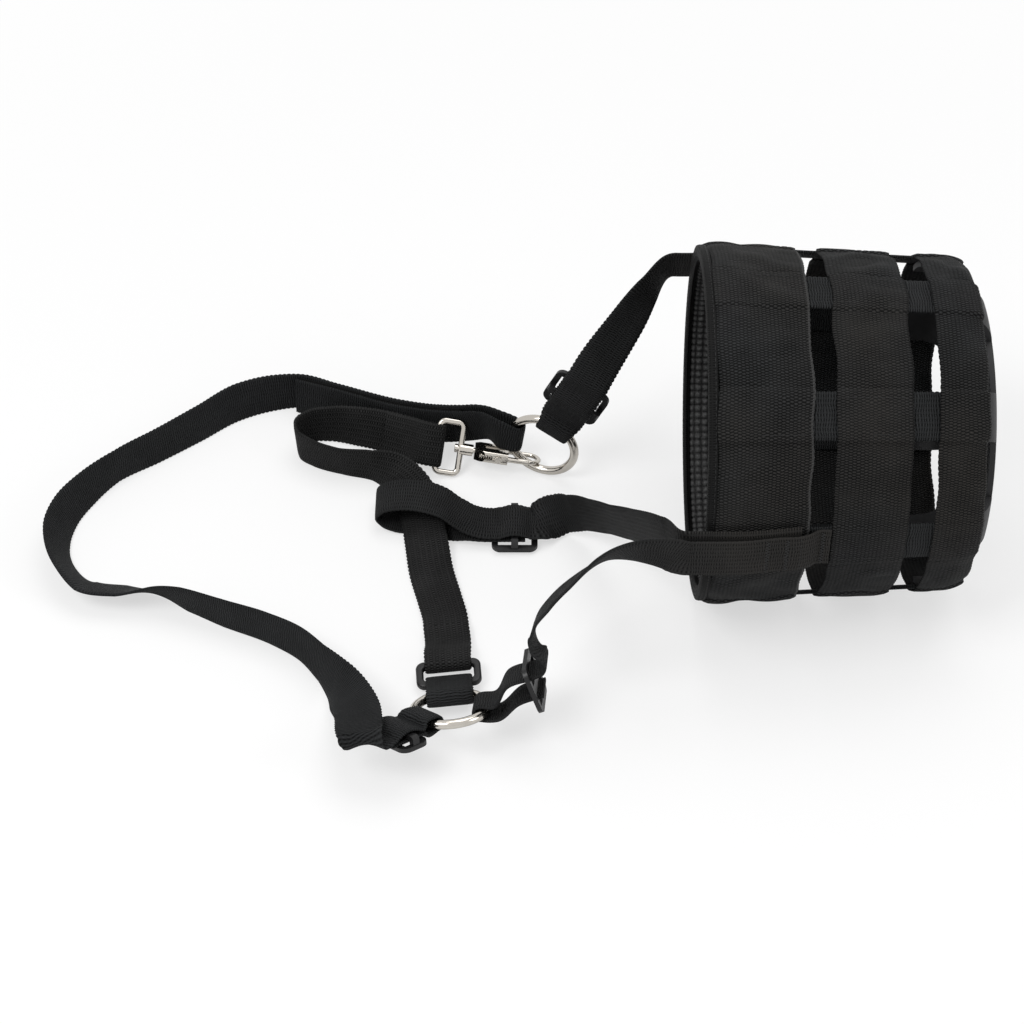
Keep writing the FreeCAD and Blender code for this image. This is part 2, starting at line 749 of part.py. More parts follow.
# Throat strap: plastic loop, up through the chin loop, round and back to the snap's eye.
THROAT_DOUBLE = points([
    (-162, 79.3, -85.2, 0.02, 0.58, 0.81),
    (-175, 84.3, -85.2, 0, 0.52, 0.85),
])
THROAT_ROUTE = points([
    (-191, 88.5, -84.8, 0, 0.36, 0.93),
    (-207, 91, -85.2, 0, 0.14, 0.99),
    (-219.5, 89, -85.2, -0.02, 0.05, 1),
    (-226, 82.5, -85.2, -0.05, 0, 1),
    (-225.0, 74, -85.2, -0.05, -0.05, 1),
    (-217, 66.5, -84.9, 0, -0.12, 1),
    (-200, 59, -84.9, 0, -0.16, 0.98),
    (-181, 55, -84.7, 0.05, -0.02, 1),
    (-168, 48.5, -84.6, 0.48, 0.30, 0.76),
    (-157.5, 36, -86.4, 0.82, 0.22, 0.42),
    (-152, 19, -90.2, 0.93, 0.05, 0.30),
    (-149, 2, -92.5, 0.97, 0, 0.22),
    (-145.5, -20, -95.2, 1, 0.03, 0.06),
    (-140.5, -40, -95.6, 1, 0.05, 0.02),
    (-137.0, -56, -95.2, 1, 0.12, 0),
])
LOOP_BAR = mm("loop_length") - mm("loop_wire")
TAB_REACH = 32.0
TAB_RUN, TAB_WIRE = ring_side(NEAR_CENTRE, NEAR_LEVEL, NEAR_RISE, 278)
TAB_START = NEAR_CENTRE + TAB_RUN * fold_reach(1.0)
TAB_END = NEAR_CENTRE + TAB_RUN * TAB_REACH
LOOP_RUN = (unit(-0.08, 0.99, 0.02) - TAB_WIRE * TAB_WIRE.dot(unit(-0.08, 0.99, 0.02))).normalize()
LOOP_FACE = TAB_WIRE.cross(LOOP_RUN)
LOOP_CENTRE = TAB_END + LOOP_RUN * (LOOP_BAR / 2)
THROAT_BAR = TAB_END + LOOP_RUN * LOOP_BAR
LOOP_SPREAD = mm("loop_wire") / 2 + mm("fit_gap") + WEB / 2 + 0.15
EYE_SPREAD = mm("eye_wire") / 2 + mm("fit_gap") + WEB / 2


def ring_line(centre, out, wire, reaches):
    """Middle line of a strap folded round a ring, gathered there to fit beside the next one."""
    line = [(centre + out * fold_reach(GATHER), wire, GATHER), (centre + out * RING_EXIT, wire, 0.5 + GATHER / 2)]
    return line + [(centre + out * reach, wire, 1.0) for reach in reaches]


def make_far_cheek():
    line = ring_line(FAR_CENTRE, FAR_OUT, FAR_WIRE, [27.5])
    through, part = over_bar(FAR_CENTRE + FAR_OUT * FAR_SLIDE_AT, FAR_OUT, FAR_WIRE, -14.5, 14.0)
    line += through + [(FAR_CENTRE + FAR_OUT * 60, FAR_WIRE, 1.0)]
    spread = [RING_SPREAD, RING_SPREAD, CLOSE_SPREAD] + part + [CLOSE_SPREAD]
    place("far_cheek_strap", ribbon(turn_back(line, spread) + to_rim(FAR_CHEEK_ROUTE, FAR_TURN, 0.0)))


def over_bar(middle, run, across, start, stop):
    """Stations and spreads of two layers through a slide, the upper one over its bar."""
    line = [(middle + run * start, across, 1.0)]
    spread = [CLOSE_SPREAD]
    for lead in [-reach for reach in BAR_LEAD] + list(reversed(BAR_LEAD)):
        share = (BAR_LEAD[0] - abs(lead)) / (BAR_LEAD[0] - BAR_LEAD[-1])
        rise = CLOSE_SPREAD + (OVER_BAR - CLOSE_SPREAD) * share ** 0.8
        line.append((middle + run * lead, across, 1.0))
        spread.append((rise, CLOSE_SPREAD))
    return line + [(middle + run * stop, across, 1.0)], spread + [CLOSE_SPREAD]


def to_rim(route, turn, layer):
    """The route with a last station where the strap meets its sewn end, clear of it by the
    room it takes to swing."""
    crest = wall(size("mouth_band_start"), lap + gap).value + 1.1 + WEB / 2 + layer
    angle = math.radians(turn)
    out = Vector(0, -math.sin(angle), math.cos(angle))
    across = Vector(0, math.cos(angle), math.sin(angle))
    if across.dot(route[-1][1]) < 0:
        across = across * -1
    meet = -mm("anchor_lead") - mm("swing_gap")
    return route + [(Vector(meet - lead, 0, 0) + out * crest, across, 1.0) for lead in (8, 4, 0)]


def make_crown():
    near = ring_line(NEAR_CENTRE, CROWN_NEAR_OUT, CROWN_NEAR_WIRE, [])
    middle = NEAR_CENTRE + CROWN_NEAR_OUT * CROWN_SLIDE_AT
    through, part = over_bar(middle, CROWN_NEAR_OUT, CROWN_NEAR_WIRE, -9.6, 11.0)
    near += through
    near_spread = [RING_SPREAD, RING_SPREAD] + part
    far = ring_line(FAR_CENTRE, CROWN_OUT, CROWN_WIRE * -1, []) + CROWN_DOUBLE
    tape_spread = WEB / 2 + mm("tape_thick") + 0.5
    far_spread = [RING_SPREAD, RING_SPREAD] + [tape_spread] * len(CROWN_DOUBLE)
    fold_far = turn_back(far, far_spread)
    # The strap comes in over the slide and folds under at a slant to run through it.
    flat = CROWN_RUN - CROWN_NEAR_FACE * CROWN_RUN.dot(CROWN_NEAR_FACE)
    lower = NEAR_CENTRE + CROWN_NEAR_OUT * CROWN_FOLD_AT + CROWN_NEAR_FACE * CLOSE_SPREAD
    slant = fold_across(lower + CROWN_NEAR_FACE * CROWN_FOLD, flat.normalize(), CROWN_NEAR_OUT * -1,
                        CROWN_NEAR_FACE, CROWN_FOLD)
    route = fold_far + CROWN_ROUTE + slant + list(reversed(turn_back(near, near_spread)))
    for i in range(1, len(route)):
        if route[i][1].dot(route[i - 1][1]) < 0:
            route[i] = (route[i][0], route[i][1] * -1, route[i][2])
    place("crown_strap", ribbon(route))
    for name, side in (("hook_tape", 1), ("loop_tape", -1)):
        lift = side * (mm("tape_thick") / 2 + 0.1)
        tape = [(point + face * lift, across, 1.0) for point, run, across, face, share in frames(far)[3:]]
        place(name, ribbon(tape, thick=mm("tape_thick"), width=WIDTH - 2))


def make_near_cheek():
    line = ring_line(NEAR_CENTRE, NEAR_OUT, NEAR_WIRE, [])
    line += [(NEAR_CENTRE + NEAR_RUN * reach, NEAR_WIRE, 1.0) for reach in (36, NEAR_SLIDE_AT + 3.5)]
    spread = [RING_SPREAD, RING_SPREAD, SLOT_PITCH, SLOT_PITCH]
    route = to_rim(NEAR_CHEEK_ROUTE, NEAR_TURN, lap.value + 0.6)
    place("near_cheek_strap", ribbon(turn_back(line, spread) + route))


def make_chin():
    low = CHIN_SLIDE.z - CLOSE_SPREAD
    across = Vector(0, 1, 0)
    under = [(Vector(CHIN_SLIDE.x + reach, CHIN_SLIDE.y, low), across, 1.0) for reach in (6, -5)]
    line, part = over_bar(CHIN_SLIDE, Vector(1, 0, 0), across, -11.0, 12.0)
    upper = []
    for (spot, width, share), rise in zip(line, part):
        lift = rise[0] if isinstance(rise, tuple) else rise
        upper.append((spot + Vector(0, 0, lift), width, share))
    route = to_rim(CHIN_ROUTE, NEAR_TURN - mm("chin_anchor_turn"), 0.0)
    place("chin_strap", ribbon(under + CHIN_UNDER + upper + route))


def make_throat():
    bar = EYE_CENTRE - SNAP_RUN * (mm("eye_length") - mm("eye_wire")) * 0.5
    eye = [(bar - SNAP_RUN * reach, EYE_WIDTH, 1.0) for reach in (0, 5)] + THROAT_DOUBLE
    spread = [EYE_SPREAD, EYE_SPREAD, CLOSE_SPREAD + 0.5, CLOSE_SPREAD]
    top = turn_back(eye, spread)
    loop = [(THROAT_BAR + LOOP_RUN * reach, TAB_WIRE, 1.0) for reach in (0, 5)]
    loop += [(Vector(-135.2, -74, -94.2), TAB_WIRE, 1.0), (Vector(-136.5, -62, -94.0), TAB_WIRE, 1.0)]
    spread = [LOOP_SPREAD, LOOP_SPREAD, CLOSE_SPREAD, CLOSE_SPREAD]
    bottom = turn_back(loop, spread)
    place("throat_strap", ribbon(top + THROAT_ROUTE + list(reversed(bottom))))


def make_tab():
    """Closed band of webbing round the near ring and the front bar of the plastic loop."""
    length = (TAB_END - TAB_START).Length
    outer = RING_SPREAD + WEB / 2
    inner = RING_SPREAD - WEB / 2
    faces = []
    for radius in (outer, inner):
        ends = [Vector(0, radius, 0), Vector(length, radius, 0), Vector(length, -radius, 0), Vector(0, -radius, 0)]
        edges = [Part.LineSegment(ends[0], ends[1]).toShape(),
                 Part.Arc(ends[1], Vector(length + radius, 0, 0), ends[2]).toShape(),
                 Part.LineSegment(ends[2], ends[3]).toShape(),
                 Part.Arc(ends[3], Vector(-radius, 0, 0), ends[0]).toShape()]
        faces.append(Part.Face(Part.Wire(edges)))
    band = faces[0].cut(faces[1]).extrude(Vector(0, 0, WIDTH))
    band.translate(Vector(0, 0, -WIDTH / 2))
    place("ring_tab", band, axes(TAB_START, TAB_RUN, TAB_WIRE.cross(TAB_RUN), TAB_WIRE))


# ---------------------------------------------------------------- hardware
def make_ring(name, centre, axis, level):
    ring = doc.addObject("Part::Torus", name)
    ring.Label = name
    ring.setExpression("Radius1", "(Sizes.ring_outer - Sizes.ring_wire) / 2")
    ring.setExpression("Radius2", "Sizes.ring_wire / 2")
    ring.Placement = axes(centre, level, axis.cross(level), axis)


def make_slide(name, placement, length, raised=True):
    """Three-bar slide. Local x runs along the strap and y across it. The end bars lie on one
    side of the strap's under layer and a raised middle bar bridges it on the other."""
    body = new_body(name)
    thick = size("slide_thick")
    length, width = size(length), size("slide_width")
    rail = size("slide_rail")
    sketch = rounded(new_sketch(body, "frame", "XY_Plane"), length, width, size("slide_corner"))
    zero = size(0)
    x, y = length / 2 - rail, width / 2 - rail
    rectangle(sketch, zero - x, x, zero - y, y)
    pad(body, sketch, thick)
    if not raised:
        bar = new_sketch(body, "bar", "XY_Plane")
        rectangle(bar, zero - size("slide_bar") / 2, size("slide_bar") / 2, zero - y - 1, y + 1)
        pad(body, bar, thick)
        body.Placement = placement
        return
    # The under layer passes between the end bars and the bridge, the upper one over both.
    rise = size("web_thick") + 0.6
    top = thick / 2 + rise
    bridge = new_sketch(body, "bridge", "YZ_Plane")
    outer, post = width / 2 - 0.4, width / 2 - rail
    outline(bridge, [
        (zero - outer, zero - thick / 2), (zero - post, zero - thick / 2), (zero - post, top), (post, top),
        (post, zero - thick / 2), (outer, zero - thick / 2), (outer, top + thick - 1.2),
        (outer - 1.2, top + thick), (zero - outer + 1.2, top + thick), (zero - outer, top + thick - 1.2)])
    pad(body, bridge, size("slide_bar"))
    body.Placement = placement


def make_loop():
    body = new_body("throat_loop")
    length, width, wire = size("loop_length"), size("loop_width"), size("loop_wire")
    sketch = rounded(new_sketch(body, "outside", "XY_Plane"), length, width, size("loop_corner"))
    inner = size("loop_corner") / 2
    rounded(sketch, length - wire * 2, width - wire * 2, inner)
    frame = pad(body, sketch, wire)
    edges = []
    for i, edge in enumerate(body.Shape.Edges, start=1):
        flat = abs(edge.BoundBox.ZMax - edge.BoundBox.ZMin) < 1e-6
        if flat:
            edges.append("Edge%d" % i)
    round_over = body.newObject("PartDesign::Fillet", "throat_loop_round")
    round_over.Base = (frame, edges)
    round_over.setExpression("Radius", "Sizes.loop_wire * 0.35")
    doc.recompute()
    body.Placement = axes(LOOP_CENTRE, LOOP_RUN, LOOP_FACE.cross(LOOP_RUN), LOOP_FACE)


def rod(start, stop, wire):
    """Round rod between two points."""
    run = stop - start
    return Part.makeCylinder(wire / 2, run.Length, start, run)


def bend(start, centre, degrees, wire):
    """Round wire bent about local z round a centre, from a start point."""
    arm = start - centre
    piece = Part.makeTorus(arm.Length, wire / 2, Vector(), Vector(0, 0, 1), 0, 360, degrees)
    piece.Placement = Placement(centre, Rotation(Vector(0, 0, 1), math.degrees(math.atan2(arm.y, arm.x))))
    return piece


def make_snap():
    """Bolt snap. Local x runs from the eye to the hook; y is the hook's side."""
    wire = mm("eye_wire")
    hx, hy = (mm("eye_length") - wire) / 2, (mm("eye_width") - wire) / 2
    frame = None
    for side, corner in ((wire / 2, mm("eye_corner") + wire / 2), (-wire / 2, mm("eye_corner") - wire / 2)):
        x, y = hx + side, hy + side
        block = Part.makeBox(2 * x, 2 * y, wire, Vector(-x, -y, -wire / 2))
        upright = [e for e in block.Edges if abs(e.tangentAt(e.FirstParameter).z) > 0.9]
        block = block.makeFillet(corner, upright)
        frame = frame.cut(block) if frame else block
    rims = [e for e in frame.Edges if e.BoundBox.ZLength < 0.01]
    frame = frame.makeFillet(wire * 0.36, rims)
    pin, play = mm("swivel_pin"), mm("pin_gap")
    barrel_end = mm("body_start") - 1.0
    run = Vector(1, 0, 0)
    barrel = Part.makeCylinder(pin / 2 + 1.8, barrel_end - hx + 0.4, Vector(hx - 0.4, 0, 0), run)
    bore = Part.makeCylinder(pin / 2 + play, barrel_end, Vector(hx - wire, 0, 0), run)
    eye = frame.fuse(barrel).cut(bore).removeSplitter()
    place("snap_eye", eye, axes(EYE_CENTRE, SNAP_RUN, EYE_WIDTH, EYE_FACE))

    start, stop = mm("body_start"), mm("body_end")
    side, thick = mm("hook_reach"), mm("hook_wire")
    block = Part.makeBox(stop - start, mm("body_width"), mm("body_thick"),
                         Vector(start, -mm("body_width") / 2, -mm("body_thick") / 2))
    corners = [e for e in block.Edges if abs(e.tangentAt(e.FirstParameter).x) > 0.9]
    block = block.makeFillet(2.2, corners)
    # The housing narrows towards the swivel.
    for s in (-1, 1):
        wedge = Part.makePolygon([Vector(start - 1, s * 9, -9), Vector(start + 8, s * 9, -9),
                                  Vector(start - 1, s * 3.4, -9), Vector(start - 1, s * 9, -9)])
        block = block.cut(Part.Face(wedge).extrude(Vector(0, 0, 18)))
    tip = mm("hook_end") - side - thick / 2
    hook = [rod(Vector(stop - 4, side, 0), Vector(tip, side, 0), thick),
            bend(Vector(tip, -side, 0), Vector(tip, 0, 0), 180, thick)]
    post = Part.makeCylinder(pin / 2, start - hx + 3.0, Vector(hx - 2.4, 0, 0), run)
    head = Part.makeCylinder(pin / 2 + 0.9, 1.6, Vector(hx - wire / 2 - 1.8, 0, 0), run)
    bore = Part.makeCylinder(mm("bolt_wire") / 2 + mm("pin_gap"), stop - start, Vector(start + 3, -side, 0), run)
    slot = Part.makeBox(stop - start - 8.5, 6, 2.2, Vector(start + 5, -side - 6, -1.1))
    # Between the bolt's tube and the hook's shank each face is hollowed to a thin web.
    for s in (-1, 1):
        hollow = Part.makeBox(stop - start - 7.5, 5.0, 3.0, Vector(start + 5.5, -2.2, -1.5))
        hollow = hollow.makeFillet(1.1, [e for e in hollow.Edges if abs(e.tangentAt(e.FirstParameter).z) > 0.9])
        hollow.translate(Vector(0, 0, s * (mm("body_thick") / 2)))
        block = block.cut(hollow)
    body = block.fuse(hook + [post, head]).cut(bore.fuse(slot)).removeSplitter()
    place("snap_body", body, axes(EYE_CENTRE, SNAP_RUN, HOOK_SIDE, HOOK_FACE))

    bolt_start = start + 10.5
    shaft = rod(Vector(bolt_start, -side, 0), Vector(tip - 0.3, -side, 0), mm("bolt_wire"))
    knob_x = stop - 5.6
    outside = -mm("body_width") / 2
    stem = rod(Vector(knob_x, -side, 0), Vector(knob_x, outside - 0.9, 0), 1.8)
    knob = rod(Vector(knob_x, outside - 0.5, 0), Vector(knob_x, outside - 2.1, 0), 4.0)
    bolt = shaft.fuse([stem, knob]).removeSplitter()
    place("snap_bolt", bolt, axes(EYE_CENTRE, SNAP_RUN, HOOK_SIDE, HOOK_FACE))

    # The coil is a many-sided wire, six flats round and ten lengths to the turn.
    turns, first = 5, start + 3.5
    pitch = (bolt_start - 0.3 - first) / turns
    coil, coil_wire = 1.15, 0.3
    rings = []
    for k in range(turns * 10 + 1):
        angle = 2 * math.pi * k / 10
        out = Vector(0, math.cos(angle), math.sin(angle))
        middle = Vector(first + pitch * k / 10, -side, 0) + out * coil
        ring = []
        for j in range(6):
            turn = 2 * math.pi * j / 6
            ring.append(middle + out * coil_wire * math.cos(turn) + run * coil_wire * math.sin(turn))
        rings.append(ring)
    place("snap_spring", skin(rings), axes(EYE_CENTRE, SNAP_RUN, HOOK_SIDE, HOOK_FACE))


def make_slides():
    # The middle of the two layers lies this far above the end bars' middle plane.
    seat = mm("slide_thick") / 2 + 0.3 + WEB / 2 + CLOSE_SPREAD
    at = FAR_CENTRE + FAR_OUT * FAR_SLIDE_AT
    face = FAR_OUT.cross(FAR_WIRE)
    make_slide("far_cheek_slide", axes(at - face * seat, FAR_OUT, FAR_WIRE, face), "slide_length")
    at = NEAR_CENTRE + CROWN_NEAR_OUT * CROWN_SLIDE_AT
    face = CROWN_NEAR_FACE
    make_slide("crown_slide", axes(at - face * seat, CROWN_NEAR_OUT, CROWN_NEAR_WIRE, face), "short_slide")
    at = NEAR_CENTRE + NEAR_RUN * NEAR_SLIDE_AT
    make_slide("near_cheek_slide", axes(at, NEAR_FACE, NEAR_WIRE, NEAR_RUN * -1), "slide_length", False)
    run, across = Vector(1, 0, 0), Vector(0, 1, 0)
    make_slide("chin_slide", axes(CHIN_SLIDE - Vector(0, 0, seat), run, across, Vector(0, 0, 1)), "slide_length")


make_straps()
make_bands()
make_lining()
make_base()
make_anchors()
make_far_cheek()
make_crown()
make_near_cheek()
make_chin()
make_throat()
make_tab()
make_ring("near_ring", NEAR_CENTRE, NEAR_AXIS, NEAR_LEVEL)
make_ring("far_ring", FAR_CENTRE, FAR_AXIS, FAR_LEVEL)
make_slides()
make_loop()
make_snap()
doc.recompute()

# ---------------------------------------------------------------- checks and output
pieces = [o for o in doc.Objects if o.TypeId in ("PartDesign::Body", "Part::Feature", "Part::Torus")]
for item in doc.Objects:
    if "Invalid" in item.State or "Error" in item.State:
        raise RuntimeError("%s failed: %s" % (item.Label, item.State))
for piece in pieces:
    shape = piece.Shape
    if shape.isNull() or not shape.isValid() or not shape.Solids:
        raise RuntimeError(piece.Label + " has no valid solid")
for piece in pieces:
    piece.Shape.exportStep(os.path.join("parts", piece.Label + ".step"))
print("%d pieces" % len(pieces))
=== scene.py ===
import math
import random

import bpy
import numpy as np
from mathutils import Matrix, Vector


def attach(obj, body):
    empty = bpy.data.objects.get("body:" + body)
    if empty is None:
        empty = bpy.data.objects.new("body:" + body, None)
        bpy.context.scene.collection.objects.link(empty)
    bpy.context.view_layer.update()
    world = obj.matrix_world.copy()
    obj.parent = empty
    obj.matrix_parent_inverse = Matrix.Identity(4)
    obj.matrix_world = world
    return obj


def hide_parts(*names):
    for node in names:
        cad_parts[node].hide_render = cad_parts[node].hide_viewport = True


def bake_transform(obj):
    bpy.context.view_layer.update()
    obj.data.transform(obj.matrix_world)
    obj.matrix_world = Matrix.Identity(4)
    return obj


# Grazing muzzle with a webbing halter: looks built round the CAD frame, in metres.
# Rubber, plastic, rings and the snap are the CAD pieces with a finish. Everything woven, the
# stitching and the snap's spring are modelled here.

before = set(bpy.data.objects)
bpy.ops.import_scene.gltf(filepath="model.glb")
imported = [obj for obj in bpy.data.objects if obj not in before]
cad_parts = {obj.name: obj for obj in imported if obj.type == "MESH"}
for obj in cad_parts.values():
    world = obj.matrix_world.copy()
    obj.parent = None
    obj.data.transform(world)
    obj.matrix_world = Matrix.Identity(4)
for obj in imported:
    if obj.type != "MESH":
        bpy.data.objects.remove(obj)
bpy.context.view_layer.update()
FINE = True

# ------------ sizes shared with the CAD model
WEB = 0.0018
WIDTH = 0.025
GAP = 0.00015
LAP = WEB + GAP
FIT = 0.00035
MOUTH_RADIUS = 0.0945
WAIST_RADIUS = 0.0880
BEND_START = 0.128
TAPER = (MOUTH_RADIUS - WAIST_RADIUS) / BEND_START
BASE_BEND = 0.018
BEND_CENTRE = WAIST_RADIUS - LAP - BASE_BEND
STRAP_COUNT = 8
MOUTH_BAND = (0.0026, 0.0500)
LIP_ROLL = 0.0200
LIP_RISE = 0.0011
MIDDLE_BAND = (0.0624, 0.1004)
LOWER_BAND_START = 0.1144
LINING = (0.0010, 0.0460)
LINING_THICK = 0.0040
BINDING_THICK = 0.0013
TAPE_THICK = 0.0011
RING_OUTER = 0.044
RING_WIRE = 0.005
RING_MEAN = (RING_OUTER - RING_WIRE) / 2
FLOOR = -0.0975
NEAR_END, CHIN_END, FAR_END = 0.0616, 0.046, 0.048
NEAR_TURN, CHIN_TURN, FAR_TURN = 90.0, 87.6, -70.0

# The scene's own sizes: the paper's height, the lining's pillows along the basket and round
# it, and the height of the binding's outer side.
GROUND = FLOOR - 0.0003
PILLOW, PILLOW_COUNT = 0.0040, 140
COVER = 0.0007
# Added to the cloth map on the underside of a band, so that no selvage is painted there.
UNDERSIDE = 0.2
# Length of the steps that lines of webbing are filled in with, and steps of a fold.
STEP = 0.00052 if FINE else 0.003
FOLD_STEPS = 8


def wall(x, layer):
    """Radius of the outer face of the lengthwise straps at x, moved out by layer."""
    return MOUTH_RADIUS - TAPER * x + layer


def radial(angle):
    """Direction out from the basket's axis at an angle from the top."""
    return Vector((0, math.sin(angle), math.cos(angle)))


def from_axis(x, out, radius):
    """Point a radius out from the basket's axis at x."""
    return Vector((x, 0, 0)) + out * radius


# ------------ finishes
class Wiring:
    """Short way to wire nodes."""

    def __init__(self, owner):
        owner.use_nodes = True
        self.tree = owner.node_tree

    def node(self, kind, **settings):
        made = self.tree.nodes.new(kind)
        for key, value in settings.items():
            setattr(made, key, value)
        return made

    def put(self, socket, value):
        if isinstance(value, bpy.types.NodeSocket):
            self.tree.links.new(value, socket)
        else:
            socket.default_value = value

    def maths(self, operation, *values):
        made = self.node("ShaderNodeMath", operation=operation)
        for socket, value in zip(made.inputs, values):
            self.put(socket, value)
        return made.outputs[0]

    def ranged(self, value, start, stop, low=0.0, high=1.0, interpolation_type="SMOOTHSTEP"):
        """low where value is under start, rising to high where it is over stop."""
        made = self.node("ShaderNodeMapRange", interpolation_type=interpolation_type)
        sockets = {"Value": value, "From Min": start, "From Max": stop, "To Min": low, "To Max": high}
        for name, given in sockets.items():
            self.put(made.inputs[name], given)
        return made.outputs["Result"]


class Shader(Wiring):
    """Short way to wire a procedural material."""

    def __init__(self, name):
        self.material = bpy.data.materials.new(name)
        super().__init__(self.material)
        self.surface = self.tree.nodes["Principled BSDF"]

    def place_on_cloth(self):
        """Metres along and across the cloth, from its UV map."""
        where = self.node("ShaderNodeUVMap", uv_map="cloth")
        split = self.node("ShaderNodeSeparateXYZ")
        self.put(split.inputs[0], where.outputs[0])
        return split.outputs[0], split.outputs[1], where.outputs[0]

    def noise(self, vector, scale, detail=3.0):
        made = self.node("ShaderNodeTexNoise")
        self.put(made.inputs["Vector"], vector)
        self.put(made.inputs["Scale"], scale)
        self.put(made.inputs["Detail"], detail)
        self.put(made.inputs["Roughness"], 0.55)
        return made.outputs["Fac"]

    def object_place(self):
        return self.node("ShaderNodeTexCoord").outputs["Object"]

    def ridges(self, distance, pitch):
        """Rounded ridges, 0 to 1 high, a pitch apart."""
        return self.maths("ABSOLUTE", self.maths("SINE", self.maths("MULTIPLY", distance, math.pi / pitch)))

    def mix(self, share, first, second):
        made = self.node("ShaderNodeMix", data_type="RGBA")
        self.put(made.inputs[0], share)
        self.put(made.inputs[6], first)
        self.put(made.inputs[7], second)
        return made.outputs[2]

    def bump(self, height, distance):
        made = self.node("ShaderNodeBump")
        self.put(made.inputs["Height"], height)
        self.put(made.inputs["Distance"], distance)
        self.put(made.inputs["Strength"], 1.0)
        self.put(self.surface.inputs["Normal"], made.outputs[0])

    def set(self, **values):
        for name, value in values.items():
            self.put(self.surface.inputs[name.replace("_", " ")], value)
        return self.material


def yarns(shader, along, across, pitch_along, pitch_across, crosswise, furrow):
    """Height of a plain weave: dots in columns, each column half a step on from the last.
    crosswise is the share that runs as ribs right across the strap, and furrow the depth of
    the lines between the columns."""
    column = shader.maths("FLOOR", shader.maths("DIVIDE", across, pitch_across))
    shift = shader.maths("MULTIPLY", shader.maths("FLOORED_MODULO", column, 2.0), 0.5)
    turn = shader.maths("ADD", shader.maths("DIVIDE", along, pitch_along), shift)
    dots = shader.maths("POWER", shader.maths("SINE", shader.maths("MULTIPLY", turn, math.pi)), 2.0)
    edge = shader.ridges(across, pitch_across)
    woven = shader.maths("MULTIPLY", dots, shader.maths("MULTIPLY_ADD", edge, furrow, 1.0 - furrow))
    rib = shader.maths("POWER", shader.ridges(along, pitch_along), 1.5)
    plain = shader.maths("MULTIPLY", woven, 1.0 - crosswise)
    return shader.maths("ADD", plain, shader.maths("MULTIPLY", rib, crosswise))


def grey(value, warm=0.0):
    return (value * (1 + warm), value, value * (1 - warm), 1.0)


# Stretch of x over which the straps of the halter take the tone of their sewn ends.
SEWN_CHANGE = (-0.045, 0.030)


def woven_cloth(name, pitch_along, pitch_across, crosswise, crown, furrow, gap_shade=grey(0.0020),
                depth=0.00050, selvage=None, sewn=None, olive=None):
    """Webbing. crown paints the yarns' tops, their own colour with a painted highlight; valley is painted
    shade in the gaps between them.
    selvage is a stretch across the cloth and its paint. sewn is the paint of the part that is
    sewn on the basket. olive is a tint that some of the cloth has taken."""
    shader = Shader(name)
    along, across, cloth = shader.place_on_cloth()
    # The rows of yarn wander a little.
    wander = shader.noise(cloth, 110.0, 2.0)
    along_row = shader.maths("MULTIPLY_ADD", wander, 0.0030, along)
    height = yarns(shader, along_row, across, pitch_along, pitch_across, crosswise, furrow)
    place = shader.object_place()
    wear = shader.noise(place, 38.0)
    patch = shader.noise(place, 11.0, 2.0)
    fibre = shader.noise(cloth, 2600.0, 2.0)
    lift = shader.maths("ADD", height, shader.maths("MULTIPLY", fibre, 0.35))
    # Painted shade and highlight: tone follows the weave's height, darker in the gaps between the yarns and
    # lighter on their tops, with random wear added.
    tone = shader.maths("MULTIPLY_ADD", wear, 0.7, shader.maths("MULTIPLY_ADD", height, 1.0, -0.34))
    colour = shader.mix(shader.maths("MAXIMUM", tone, 0.0), gap_shade, crown)
    if selvage:
        start, stop, paint = selvage
        past = shader.maths("GREATER_THAN", across, start)
        share = shader.maths("MULTIPLY", past, shader.maths("LESS_THAN", across, stop))
        colour = shader.mix(shader.maths("MULTIPLY", share, 0.8), colour, paint)
    if sewn:
        split = shader.node("ShaderNodeSeparateXYZ")
        shader.put(split.inputs[0], place)
        share = shader.maths("MULTIPLY", shader.ranged(split.outputs[0], *SEWN_CHANGE), tone)
        colour = shader.mix(shader.maths("MAXIMUM", share, 0.0), colour, sewn)
    if olive:
        share = shader.maths("MULTIPLY", shader.maths("MULTIPLY_ADD", patch, 3.0, -1.2), tone)
        colour = shader.mix(shader.maths("MINIMUM", shader.maths("MAXIMUM", share, 0.0), 0.8), colour, olive)
    shader.bump(lift, depth)
    return shader.set(Base_Color=colour, Roughness=0.64, Sheen_Weight=0.010, Sheen_Roughness=0.4,
                      Specular_IOR_Level=0.06)


# Each webbing's crown colour is its yarns' own colour with a painted highlight on their tops; the gaps
# between the yarns take valley, a painted shade.
STRAP_CLOTH = woven_cloth("strap_webbing", 0.0013, 0.0013, 0.72, grey(0.030, -0.04), 0.35,
                          gap_shade=grey(0.0020, -0.03))
ANCHOR_CLOTH = woven_cloth("sewn_webbing", 0.0013, 0.0015, 0.60, grey(0.030, -0.02), 0.5,
                           sewn=grey(0.026, 0.10))
THROAT_CLOTH = woven_cloth("throat_webbing", 0.0014, 0.0017, 0.30, grey(0.033), 0.6)
BAND_CLOTH = woven_cloth("band_webbing", 0.0015, 0.0020, 0.0, grey(0.033, -0.03), 0.7,
                         olive=grey(0.029, 0.12))
MOUTH_CLOTH = woven_cloth("mouth_band_webbing", 0.0015, 0.0020, 0.0, grey(0.035, -0.03), 0.7,
                          selvage=(0.0492, 0.0510, grey(0.070)), olive=grey(0.031, 0.12))
BINDING_CLOTH = woven_cloth("binding_tape", 0.0013, 0.0011, 0.55, grey(0.014), 0.5, depth=0.00034)
HOOK_CLOTH = woven_cloth("hook_and_loop", 0.0009, 0.0009, 0.0, grey(0.012), 0.75, depth=0.00036)


